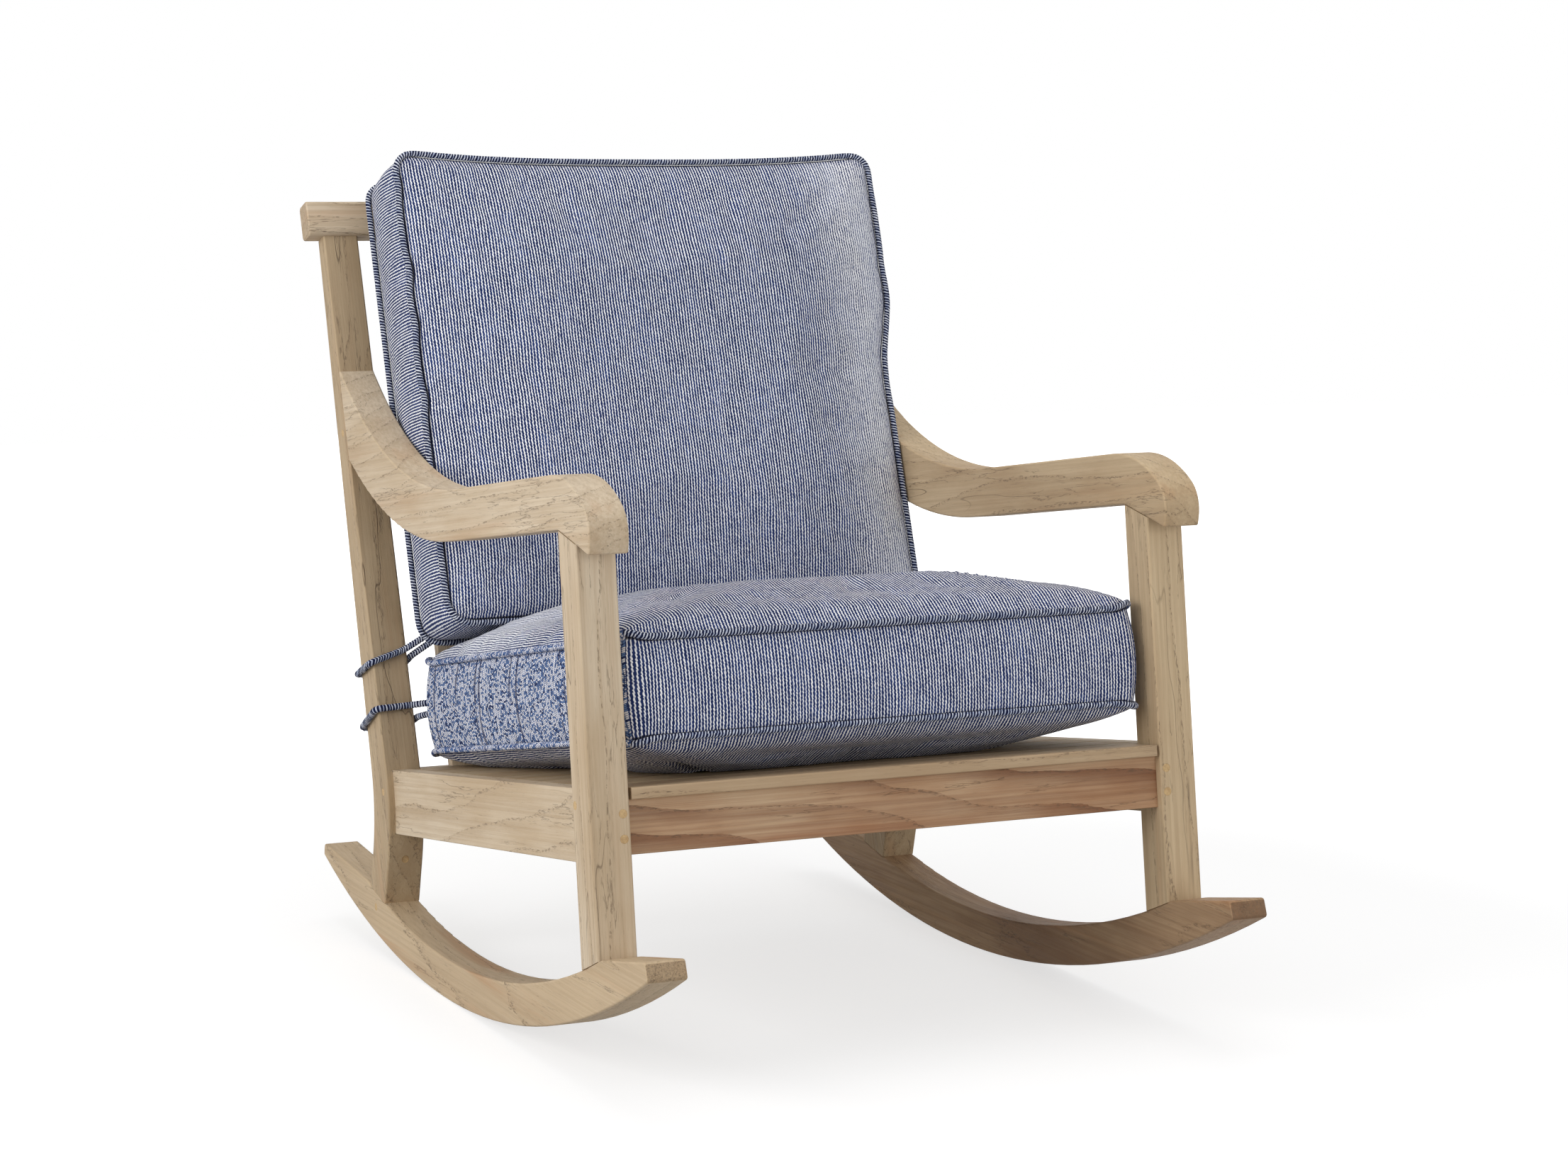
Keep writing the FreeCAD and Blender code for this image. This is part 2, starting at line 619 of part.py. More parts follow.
def make_front_leg(side):
    """A front leg with its tenons, and its mortises for the front and side rails."""
    piece = Piece(f"front_leg_{side}", OUTSIDE[side])
    piece.add([
        at("0", on_hollow("0"), "", "hollow_radius"),
        at("leg_depth", on_hollow("leg_depth")),
        at("leg_depth", "arm_underside"),
        at("0", "leg_top"),
    ], "0", "stock_width")
    middle = number("arm_underside") / 2
    piece.ease_sides("edge_round", lambda y, z: abs(z - middle) < middle / 2)
    piece.add(rectangle(*LEG_TOP_TENON), TENON_START, "tenon_width")
    piece.add(rectangle(*LEG_FOOT_TENON), TENON_START, "tenon_width")

    depth = "(front_tenon_length + glue_gap)"
    front = slack(rectangle, FRONT_TENON_Y, RAIL_TENON_LOW,
                  f"{FRONT_TENON_Y} + rail_tenon_thickness", FRONT_TENON_TOP)
    piece.cut(front, mirrored(side, f"(stock_width - {depth})", depth), depth)
    width = "(rail_tenon_thickness + 2 * glue_gap)"
    start = "(side_rail_inset + (side_rail_thickness - rail_tenon_thickness) / 2 - glue_gap)"
    back = slack(rectangle, "leg_depth - side_tenon_length", SIDE_TENON_LOW,
                 "leg_depth + overrun", REAR_TENON_TOP)
    piece.cut(back, mirrored(side, start, width), width)

    across = mirrored(side, "(stock_width - front_peg_inset)", "0")
    piece.rounds("Pocket", "XZ_Plane", "0",
                 [(across, "front_peg_low"), (across, "front_peg_high")],
                 "peg_radius + glue_gap", "front_peg_length + glue_gap")
    drill_outer(piece, side, [LEG_PEG], "side_peg_length")


def make_back_post(side):
    """A kneed and tapered back post with its tenons and mortises."""
    piece = Piece(f"back_post_{side}", OUTSIDE[side])
    piece.add([
        at("post_foot_front", on_hollow("post_foot_front"), "", "hollow_radius"),
        at("post_foot_back", on_hollow("post_foot_back")),
        at("(knee_front + knee_depth)", "knee_up", "knee_round"),
        at(*on_back("post_top_depth", "post_length")),
        at(*on_back("0", "post_length")),
        at("knee_front", "knee_up", "knee_round"),
    ], "0", "stock_width")
    low = number(on_hollow("post_foot_back"))
    high = number("seat_top") + number("post_length") * 0.9
    piece.ease_sides("edge_round", lambda y, z: low < z < high)
    piece.add(rectangle(*POST_FOOT_TENON), TENON_START, "tenon_width")
    piece.add(leaned_rectangle(*CREST_TENON), TENON_START, "tenon_width")
    cut_mortise(piece, leaned_slack(*ARM_TENON))

    width = "(side_rail_thickness + 2 * glue_gap)"
    housing = slack(rectangle, "knee_front - knee_depth", "seat_top - side_rail_height",
                    "side_rail_end", "seat_top")
    piece.cut(housing, mirrored(side, "(side_rail_inset - glue_gap)", width), width)
    depth = "(rear_tenon_length + glue_gap)"
    rear = slack(rectangle, REAR_TENON_Y, RAIL_TENON_LOW,
                 f"{REAR_TENON_Y} + rail_tenon_thickness", REAR_TENON_TOP)
    piece.cut(rear, mirrored(side, f"(stock_width - {depth})", depth), depth)

    drill_outer(piece, side, [POST_PEG, ARM_PEG], "side_peg_length")
    drill_outer(piece, side, [FOOT_PEG], "foot_peg_length")
    face = on_post_foot("foot_plug_up")
    piece.rounds("Pocket", "XZ_Plane", f"{face} - overrun", [(MID_STOCK, "foot_plug_up")],
                 "peg_radius + glue_gap",
                 "overrun + foot_plug_recess + foot_plug_length + glue_gap")


def make_arm(side):
    """A shaped arm, mortised over the front leg and tenoned into the back post."""
    piece = Piece(f"arm_{side}", OUTSIDE[side])
    top = "(arm_underside + arm_height)"
    piece.add([
        at("-arm_lip", "arm_lip_up", "arm_lip_round"),
        at("0", "leg_top"),
        at("leg_depth", "arm_underside"),
        at("arm_hollow_start", "arm_underside", "", "arm_hollow_round"),
        at("arm_end", swept_up("arm_end", "arm_underside", "arm_hollow_start",
                               "arm_hollow_round")),
        at("arm_end", swept_up("arm_end", top, "arm_swell_start", "arm_swell_round"), "",
           "arm_swell_round", -1),
        at("arm_swell_start", top),
        at("arm_brow", top, "arm_brow_round"),
        at("-arm_nose", "arm_nose_up", "arm_nose_round"),
    ], "0", "stock_width")
    rear = number("arm_end") - 1
    piece.ease_sides("arm_edge_round", lambda y, z: y < rear)
    piece.cut(leaned_rectangle("0", "arm_tenon_up - arm_tenon_height", "2 * arm_tenon_length",
                               "3 * arm_tenon_height"), "0", "stock_width")
    piece.cut(rectangle("(arm_end - arm_height)", "arm_tip_up", "(arm_end + overrun)",
                        "(arm_tip_up + arm_height)"), "0", "stock_width")
    piece.add(leaned_rectangle(*ARM_TENON), TENON_START, "tenon_width")
    cut_mortise(piece, slack(rectangle, *LEG_TOP_TENON))
    drill_outer(piece, side, [ARM_PEG], "side_peg_length")


def make_crest_rail():
    """The crest rail, mortised over both posts, with a slot for each back slat."""
    half = "(overall_width / 2 + crest_overhang)"
    piece = Piece("crest_rail", f"-{half}")
    piece.add(leaned_rectangle("-crest_proud", "post_length", "crest_depth", "crest_height"),
              "0", f"2 * {half}")
    piece.ease_across("crest_round")
    piece.ease_sides("edge_round")
    for start in ("crest_overhang", "(overall_width + crest_overhang - stock_width)"):
        piece.cut(leaned_slack(*CREST_TENON), f"{start} + {TENON_START} - glue_gap",
                  "tenon_width + 2 * glue_gap")
    slot = leaned_slack("back_slat_setback", "(post_length - overrun)", "back_slat_thickness",
                        "(back_slat_housing + overrun)")
    first = f"({half} - {INNER_HALF} + {SLAT_SPACE} - glue_gap)"
    piece.cut(slot, first, "back_slat_width + 2 * glue_gap")
    piece.repeat("back_slat_count", SLAT_SPAN)


def make_back_slats():
    """The upright slats of the back, between the rear rail and the crest rail."""
    for index in range(int(number("back_slat_count"))):
        start = f"({SLAT_SPACE} + {index} * (back_slat_width + {SLAT_SPACE}) - {INNER_HALF})"
        piece = Piece(f"back_slat_{index + 1}", start)
        outline = leaned_rectangle("back_slat_setback", "-back_slat_housing",
                                   "back_slat_thickness",
                                   "(post_length + 2 * back_slat_housing)")
        piece.add(outline, "0", "back_slat_width")
        quarter = number("post_length") / 4
        middle = number("seat_top") + 2 * quarter
        piece.ease_sides("board_round", lambda y, z: abs(z - middle) < quarter)


def make_front_rail():
    """The front rail, set back between the legs, with the bearer's housing behind."""
    piece = Piece("front_rail", f"-{INNER_HALF}")
    back = "(front_rail_setback + front_rail_thickness)"
    piece.add(rectangle("front_rail_setback", "front_rail_bottom", back, DECK_UNDERSIDE),
              "0", f"2 * {INNER_HALF}")
    low = number("front_rail_bottom") + 1
    piece.ease_across("board_round", lambda y, z: z < low)
    tenon = rectangle(FRONT_TENON_Y, RAIL_TENON_LOW, f"{FRONT_TENON_Y} + rail_tenon_thickness",
                      FRONT_TENON_TOP)
    piece.add(tenon, "-front_tenon_length", f"2 * ({INNER_HALF} + front_tenon_length)")
    piece.cut(slack(rectangle, f"{back} - bearer_housing", BEARER_LOW, f"{back} + overrun",
                    f"{DECK_UNDERSIDE} + overrun"),
              f"{INNER_HALF} - bearer_width / 2 - glue_gap", "bearer_width + 2 * glue_gap")
    for across, in_side in (("0", "left"), (f"2 * {INNER_HALF}", "right")):
        sign = "-" if in_side == "left" else "+"
        place = f"{across} {sign} front_peg_inset"
        piece.rounds("Pocket", "XZ_Plane", "0",
                     [(place, "front_peg_low"), (place, "front_peg_high")],
                     "peg_radius + glue_gap", "front_peg_length + glue_gap")


def make_rear_rail():
    """The rear rail between the posts, with slots for the back slats and the bearer."""
    piece = Piece("rear_rail", f"-{INNER_HALF}")
    back = "(rear_rail_front + rear_rail_thickness)"
    piece.add(rectangle("rear_rail_front", "front_rail_bottom", back, "seat_top"),
              "0", f"2 * {INNER_HALF}")
    low = number("front_rail_bottom") + 1
    piece.ease_across("board_round", lambda y, z: z < low)
    tenon = rectangle(REAR_TENON_Y, RAIL_TENON_LOW, f"{REAR_TENON_Y} + rail_tenon_thickness",
                      REAR_TENON_TOP)
    piece.add(tenon, "-rear_tenon_length", f"2 * ({INNER_HALF} + rear_tenon_length)")
    piece.cut(slack(rectangle, "rear_rail_front - overrun", BEARER_LOW,
                    "rear_rail_front + bearer_housing", DECK_UNDERSIDE),
              f"{INNER_HALF} - bearer_width / 2 - glue_gap", "bearer_width + 2 * glue_gap")
    slot = leaned_slack("back_slat_setback", "-back_slat_housing", "back_slat_thickness",
                        "(2 * back_slat_housing)")
    piece.cut(slot, f"{SLAT_SPACE} - glue_gap", "back_slat_width + 2 * glue_gap")
    piece.repeat("back_slat_count", SLAT_SPAN)


BEARER_LOW = f"({DECK_UNDERSIDE} - bearer_height)"


def make_side_rail(side):
    """A side rail, tenoned into the leg and let whole into the post."""
    piece = Piece(f"side_rail_{side}", OUTSIDE[side])
    start = mirrored(side, "side_rail_inset", "side_rail_thickness")
    piece.add(rectangle("leg_depth", "seat_top - side_rail_height", "side_rail_end", "seat_top"),
              start, "side_rail_thickness")
    middle = (number("leg_depth") + number("side_rail_end")) / 2
    piece.ease_sides("board_round", lambda y, z: abs(y - middle) < middle / 2)
    tenon_start = "(side_rail_inset + (side_rail_thickness - rail_tenon_thickness) / 2)"
    piece.add(rectangle("leg_depth - side_tenon_length", SIDE_TENON_LOW, "leg_depth + overrun",
                        REAR_TENON_TOP),
              mirrored(side, tenon_start, "rail_tenon_thickness"), "rail_tenon_thickness")
    drill_outer(piece, side, [LEG_PEG, POST_PEG], "side_peg_length")
    width = "(rail_screw_bite + glue_gap)"
    inner = f"(side_rail_inset + side_rail_thickness - {width})"
    piece.rounds("Pocket", "YZ_Plane", mirrored(side, inner, width), CLEAT_SCREWS,
                 "screw_shank + glue_gap", width)


SEAT_PITCH = "(seat_slat_width + seat_slat_gap)"
FIRST_SLAT = "(front_board_depth + seat_slat_gap)"
CLEAT_LOW = f"({DECK_UNDERSIDE} - cleat_height)"
CLEAT_MIDDLE = f"({RAIL_HALF} - cleat_width / 2)"
CLEAT_END = "(rear_rail_front - cleat_end_gap)"
CLEAT_SCREWS = [(f"({FIRST_SLAT} + {2 * index + 1} * {SEAT_PITCH} - seat_slat_gap / 2)",
                 f"({DECK_UNDERSIDE} - cleat_height / 2)")
                for index in range(SIZES["cleat_screw_count"][0])]


def slat_middle(index):
    """Bench Y of the middle of a deck slat, counted from the front board."""
    return f"({FIRST_SLAT} + {index} * {SEAT_PITCH} + seat_slat_width / 2)"


BOARD_SCREW = "((leg_depth + front_board_depth) / 2)"


def drill_deck(piece, middle):
    """Blind holes for a slat's two screws, from below."""
    centres = [(f"-{CLEAT_MIDDLE}", middle), (CLEAT_MIDDLE, middle)]
    piece.rounds("Pocket", "XY_Plane", DECK_UNDERSIDE, centres, "screw_shank + glue_gap",
                 "slat_screw_bite + glue_gap")


def make_deck():
    """The notched front board and the slats behind it."""
    board = Piece("front_board")
    notch = "(leg_depth + deck_end_gap)"
    front_half = f"({INNER_HALF} - front_board_gap)"
    board.add(rectangle("0", DECK_UNDERSIDE, notch, "seat_top"),
              f"-{front_half}", f"2 * {front_half}")
    board.add(rectangle(notch, DECK_UNDERSIDE, "front_board_depth", "seat_top"),
              f"-{DECK_HALF}", f"2 * {DECK_HALF}")
    board.ease_across("board_round", lambda y, z: y < 1)
    drill_deck(board, BOARD_SCREW)
    for index in range(int(number("seat_slat_count"))):
        slat = Piece(f"seat_slat_{index + 1}")
        front = f"({FIRST_SLAT} + {index} * {SEAT_PITCH})"
        slat.add(rectangle(front, DECK_UNDERSIDE, f"{front} + seat_slat_width", "seat_top"),
                 f"-{DECK_HALF}", f"2 * {DECK_HALF}")
        top = number("seat_top") - 1
        slat.ease_across("board_round", lambda y, z: z > top)
        drill_deck(slat, slat_middle(index))


def make_cleat(side):
    """A batten screwed to the side rail, which carries the slats' ends."""
    start = f"-{RAIL_HALF}" if side == "left" else f"({RAIL_HALF} - cleat_width)"
    piece = Piece(f"slat_cleat_{side}")
    piece.add(rectangle("leg_depth + cleat_start_gap", CLEAT_LOW, CLEAT_END, DECK_UNDERSIDE),
              start, "cleat_width")
    across = f"-{CLEAT_MIDDLE}" if side == "left" else CLEAT_MIDDLE
    piece.rounds("Pocket", "XY_Plane", CLEAT_LOW, [(across, place) for place in DECK_SCREWS],
                 "screw_shank + glue_gap", "cleat_height")
    piece.rounds("Pocket", "YZ_Plane", start, CLEAT_SCREWS, "screw_shank + glue_gap",
                 "cleat_width")


def make_bearer():
    """The middle bearer of the slats, let into the front and rear rails."""
    piece = Piece("centre_bearer")
    piece.add(rectangle("(front_rail_setback + front_rail_thickness - bearer_housing)",
                        BEARER_LOW, "(rear_rail_front + bearer_housing)", DECK_UNDERSIDE),
              "-bearer_width / 2", "bearer_width")


# ---------------------------------------------------------------- pegs and screws

def outer_pegs(label, centres, length):
    """Pegs driven in from both outer sides of the chair."""
    piece = Piece(label)
    for start in ("-overall_width / 2", f"overall_width / 2 - ({length})"):
        piece.rounds("Pad", "YZ_Plane", start, centres, "peg_radius", length)


def make_pegs():
    """All wooden pegs and plugs."""
    front = Piece("front_rail_pegs")
    peg_across = f"({INNER_HALF} + front_peg_inset)"
    centres = [(sign + peg_across, height) for sign in ("-", "")
               for height in ("front_peg_low", "front_peg_high")]
    front.rounds("Pad", "XZ_Plane", "0", centres, "peg_radius", "front_peg_length")
    outer_pegs("side_rail_pegs", [LEG_PEG, POST_PEG], "side_peg_length")
    outer_pegs("arm_pegs", [ARM_PEG], "side_peg_length")
    outer_pegs("runner_pegs", [FOOT_PEG], "foot_peg_length")
    plugs = Piece("post_plugs")
    across = f"({INNER_HALF} + {MID_STOCK})"
    plugs.rounds("Pad", "XZ_Plane", f"{on_post_foot('foot_plug_up')} + foot_plug_recess",
                 [(f"-{across}", "foot_plug_up"), (across, "foot_plug_up")],
                 "peg_radius", "foot_plug_length")


DECK_SCREWS = [BOARD_SCREW] + [slat_middle(index)
                              for index in range(SIZES["seat_slat_count"][0])]


def make_screws():
    """Pan-head screws: up through the cleats into the deck, and sideways into the rails."""
    deck = Piece("slat_screws")
    centres = [(sign + CLEAT_MIDDLE, place) for sign in ("-", "") for place in DECK_SCREWS]
    deck.rounds("Pad", "XY_Plane", f"{CLEAT_LOW} - screw_head_height", centres, "screw_head",
                "screw_head_height")
    deck.rounds("Pad", "XY_Plane", CLEAT_LOW, centres, "screw_shank",
                "cleat_height + slat_screw_bite")

    rails = Piece("cleat_screws")
    face = f"({RAIL_HALF} - cleat_width)"
    shank = "(cleat_width + rail_screw_bite)"
    for head_start, shank_start in ((f"-{face}", f"-{face} - {shank}"),
                                    (f"{face} - screw_head_height", face)):
        rails.rounds("Pad", "YZ_Plane", head_start, CLEAT_SCREWS, "screw_head",
                     "screw_head_height")
        rails.rounds("Pad", "YZ_Plane", shank_start, CLEAT_SCREWS, "screw_shank", shank)


# ---------------------------------------------------------------- cushions

TURNS = {
    "XY": FreeCAD.Rotation(),
    "YZ": FreeCAD.Rotation(Vector(0, 1, 0), Vector(0, 0, 1), Vector(1, 0, 0), "ZXY"),
    "XZ": FreeCAD.Rotation(Vector(1, 0, 0), Vector(0, 0, 1), Vector(0, -1, 0), "ZXY"),
}


def prism(name, plane, corners):
    """A long prism, the same distance to both sides of a plane through the frame's origin."""
    sketch = DOCUMENT.addObject("Sketcher::SketchObject", f"{name}_outline")
    draw_outline(sketch, corners)
    sketch.Placement = FreeCAD.Placement(Vector(), TURNS[plane])
    block = DOCUMENT.addObject("Part::Extrusion", name)
    block.Base = sketch
    block.DirMode = "Normal"
    block.setExpression("LengthFwd", bound("4 * overall_width"))
    block.Solid = True
    block.Symmetric = True
    return block


def boolean(kind, label, base, tool):
    """One object cut by, fused with or shared with another."""
    result = DOCUMENT.addObject(f"Part::{kind}", label)
    result.Base = base
    result.Tool = tool
    return result


def crowned(start, end, low, high, crown_low, crown_high, inset, flip=False):
    """A boxed cushion's outline: straight boxing strips and a crown on both long sides."""
    near = f"({start} + {inset})"
    far = f"({end} - {inset})"
    run = "crown_run"
    lower = f"({low} - ({crown_low}) + {inset})"
    upper = f"({high} + ({crown_high}) - {inset})"
    corners = [
        (near, low, ""), (f"({near} + {run})", lower, "crown_round"),
        (f"({far} - {run})", lower, "crown_round"), (far, low, ""),
        (far, high, ""), (f"({far} - {run})", upper, "crown_round"),
        (f"({near} + {run})", upper, "crown_round"), (near, high, ""),
    ]
    if flip:
        return [at(across, along, bend) for along, across, bend in corners]
    return [at(*corner) for corner in corners]


def rounded(start, end, low, high, inset):
    """A rectangle with rounded corners, drawn in by an inset."""
    corner = f"(cushion_corner - {inset})"
    return [at(f"({start} + {inset})", f"({low} + {inset})", corner),
            at(f"({end} - {inset})", f"({low} + {inset})", corner),
            at(f"({end} - {inset})", f"({high} - {inset})", corner),
            at(f"({start} + {inset})", f"({high} - {inset})", corner)]


# The seat cushion's own frame starts at the front face of its boxing, at its lower seam.
SEAT_ORIGIN = ("seat_cushion_front", "seat_seam_up")
SEAT_WIDTH = f"(2 * ({INNER_HALF} - seat_side_gap))"
SEAT_DEPTH = f"(({BACK_Y} - seat_cushion_front - seat_rear_gap) / cos(seat_cushion_tilt))"
BACK_WIDTH = f"(2 * ({INNER_HALF} - back_side_gap))"
PIPING_REACH = "(2 * piping_radius + cushion_gap)"
PIPING_OFFSET = "(piping_radius + glue_gap)"
BACK_LOW = "back_cushion_up"
BACK_HIGH = "(post_length + back_cushion_above)"
BACK_FRONT = "(-back_seam - back_boxing)"


def to_seat(y, z):
    """Seat-cushion Y and Z of a bench point."""
    forward = f"(({y}) - {SEAT_ORIGIN[0]})"
    upward = f"(({z}) - {SEAT_ORIGIN[1]})"
    return (f"({forward} * cos(seat_cushion_tilt) - {upward} * sin(seat_cushion_tilt))",
            f"({forward} * sin(seat_cushion_tilt) + {upward} * cos(seat_cushion_tilt))")


def from_seat(y, z):
    """Bench Y and Z of a point of the seat cushion's frame."""
    return (f"({SEAT_ORIGIN[0]} + ({y}) * cos(seat_cushion_tilt)"
            f" + ({z}) * sin(seat_cushion_tilt))",
            f"({SEAT_ORIGIN[1]} - ({y}) * sin(seat_cushion_tilt)"
            f" + ({z}) * cos(seat_cushion_tilt))")


def deck_in_seat(y):
    """Height of the deck in the seat cushion's frame."""
    rise = f"(seat_top + cushion_gap - {SEAT_ORIGIN[1]} + ({y}) * sin(seat_cushion_tilt))"
    return f"({rise} / cos(seat_cushion_tilt))"


def back_side_outline(inset):
    """The back cushion from the side, in the frame of the posts' front faces."""
    return crowned(BACK_LOW, BACK_HIGH, BACK_FRONT, "(-back_seam)", "back_crown_front",
                   "back_seam + back_slat_setback - cushion_gap", inset, flip=True)


def seat_side_outline(inset):
    """The seat cushion from the side, lying on the deck."""
    near = inset
    far = f"({SEAT_DEPTH} - {inset})"
    top = f"(seat_boxing + seat_crown_top - {inset})"
    front = f"({near} + crown_run)"
    rear = f"({far} - crown_run)"
    return [
        at(near, "0"), at(front, f"({deck_in_seat(front)} + {inset})", "crown_round"),
        at(rear, f"({deck_in_seat(rear)} + {inset})", "crown_round"), at(far, "0"),
        at(far, "seat_boxing"), at(rear, top, "crown_round"),
        at(front, top, "crown_round"), at(near, "seat_boxing"),
    ]


def seat_form(stage, inset):
    """The seat cushion's form, pressed in under the back cushion."""
    half = f"({SEAT_WIDTH} / 2)"
    parts = [
        prism(f"seat_{stage}_side", "YZ", seat_side_outline(inset)),
        prism(f"seat_{stage}_section", "XZ",
              crowned(f"(-{half})", half, "0", "seat_boxing", "seat_crown_under",
                      "seat_crown_top", inset)),
        prism(f"seat_{stage}_plan", "XY",
              rounded(f"(-{half})", half, "0", SEAT_DEPTH, inset)),
    ]
    form = DOCUMENT.addObject("Part::MultiCommon", f"seat_{stage}_whole")
    form.Shapes = parts
    seam = "(piping_radius + cushion_gap)"
    press = crowned(BACK_LOW, BACK_HIGH, f"({BACK_FRONT} - {seam})", f"({seam} - back_seam)",
                    "back_crown_front", "back_seam", f"(-{PIPING_REACH} - {inset})", flip=True)
    pressing = [at(*to_seat(*on_back(corner.y, corner.z)), corner.bend) for corner in press]
    return boolean("Cut", f"seat_{stage}", form, prism(f"seat_{stage}_press", "YZ", pressing))


def back_form(stage, inset):
    """The back cushion's form."""
    half = f"({BACK_WIDTH} / 2)"
    parts = [
        prism(f"back_{stage}_side", "YZ", back_side_outline(inset)),
        prism(f"back_{stage}_section", "XY",
              crowned(f"(-{half})", half, BACK_FRONT, "(-back_seam)", "back_crown_front",
                      "back_seam + back_slat_setback - cushion_gap", inset)),
        prism(f"back_{stage}_plan", "XZ",
              rounded(f"(-{half})", half, BACK_LOW, BACK_HIGH, inset)),
    ]
    form = DOCUMENT.addObject("Part::MultiCommon", f"back_{stage}")
    form.Shapes = parts
    return form


def plate(name, corner, size):
    """A box with one corner at a place and three sizes."""
    box = DOCUMENT.addObject("Part::Box", name)
    for side, length in zip(("Length", "Width", "Height"), size):
        box.setExpression(side, bound(length))
    for axis, place in zip("xyz", corner):
        box.setExpression(f"Placement.Base.{axis}", bound(place))
    return box


def finish_part(thing, label, place, tilt, across="0"):
    """Name a cushion's piece and put it at its place on the chair."""
    thing.Label = label
    rest_place(thing, across, place[0], place[1], tilt)
    FINISHED.append(thing)


def make_cushion(name, form, place, tilt, zip_corner, zip_size, zip_place):
    """A cushion's cover, its foam core and the zip let into its hidden boxing strip."""
    outer = form("outer", "0")
    inner = form("inner", "cover_wall")
    hollow = boolean("Cut", f"{name}_hollow", outer, inner)
    room = plate(f"{name}_zip_room", zip_corner("glue_gap"), zip_size("glue_gap"))
    cover = boolean("Cut", f"{name}_cover_body", hollow, room)
    finish_part(cover, f"{name}_cushion_cover", place, tilt)
    core = form("core", "(cover_wall + cushion_gap)")
    finish_part(core, f"{name}_cushion_core", place, tilt)
    strip = plate(f"{name}_zip_body", ("0", "0", "0"), zip_size("0"))
    finish_part(strip, f"{name}_cushion_zip", zip_place, tilt, "-zip_length / 2")
    return outer


def make_seat_cushion():
    """The seat cushion: its zip is in the rear boxing strip."""
    middle = "(seat_boxing - zip_width) / 2"
    face = f"({SEAT_DEPTH} - zip_thickness)"
    outer = make_cushion(
        "seat", seat_form, SEAT_ORIGIN, "seat_cushion_tilt",
        lambda gap: (f"-zip_length / 2 - {gap}", face, f"{middle} - {gap}"),
        lambda gap: (f"zip_length + 2 * {gap}", "zip_thickness", f"zip_width + 2 * {gap}"),
        from_seat(face, middle))
    for label, height in (("seat_piping_bottom", "0"), ("seat_piping_top", "seat_boxing")):
        loop = Piece(label, "0", *SEAT_ORIGIN, "seat_cushion_tilt")
        loop.tube_loop("XY_Plane", height, f"({SEAT_WIDTH} + 2 * {PIPING_OFFSET})",
                       f"(-{PIPING_OFFSET})", f"({SEAT_DEPTH} + {PIPING_OFFSET})",
                       f"(cushion_corner + {PIPING_OFFSET})", "piping_radius")
    return outer


def make_back_cushion():
    """The back cushion: its zip is in the lower boxing strip."""
    middle = f"({BACK_FRONT} + (back_boxing - zip_width) / 2)"
    outer = make_cushion(
        "back", back_form, (BACK_Y, "seat_top"), "post_lean",
        lambda gap: (f"-zip_length / 2 - {gap}", f"{middle} - {gap}", BACK_LOW),
        lambda gap: (f"zip_length + 2 * {gap}", f"zip_width + 2 * {gap}", "zip_thickness"),
        on_back(middle, BACK_LOW))
    for label, forward in (("back_piping_rear", "back_seam"),
                           ("back_piping_front", f"(-{BACK_FRONT})")):
        loop = Piece(label, "0", BACK_Y, "seat_top", "post_lean")
        loop.tube_loop("XZ_Plane", forward, f"({BACK_WIDTH} + 2 * {PIPING_OFFSET})",
                       f"({BACK_LOW} - {PIPING_OFFSET})", f"({BACK_HIGH} + {PIPING_OFFSET})",
                       f"(cushion_corner + {PIPING_OFFSET})", "piping_radius")
    return outer


# ---------------------------------------------------------------- ties

def post_depth(up):
    """Front-to-back depth of a post at a distance up its front face."""
    lean = math.radians(number("post_lean"))
    across = number("knee_front") + number("knee_depth") - number(BACK_Y)
    rise = number("knee_up") - number("seat_top")
    knee_behind = across * math.cos(lean) - rise * math.sin(lean)
    knee_along = across * math.sin(lean) + rise * math.cos(lean)
    taper = ((knee_behind - number("post_top_depth"))
             / (number("post_length") - knee_along))
    return knee_behind - taper * (up - knee_along)


def tie_points(side, route):
    """The points of a tie that leaves its cushion, rounds the post and comes back."""
    sign = -1 if side == "left" else 1
    stand = number("tie_radius + tie_clearance")
    inner = number(INNER_HALF)
    outside = number("overall_width / 2") + stand
    inside = inner - stand
    first, last = route.roots
    front, outer_front, outer_back, inner_back, inner_front = route.heights
    points = [
        (inner - first[0], first[1], first[2]),
        (inner + stand, -stand, front),
        (outside, -stand, outer_front),
        (outside, post_depth(outer_back) + stand, outer_back),
        (inside, post_depth(inner_back) + stand, inner_back),
        (inside, 0, inner_front),
        (inner - last[0], last[1], last[2]),
    ]
    return [Vector(sign * x, y, z) for x, y, z in points]


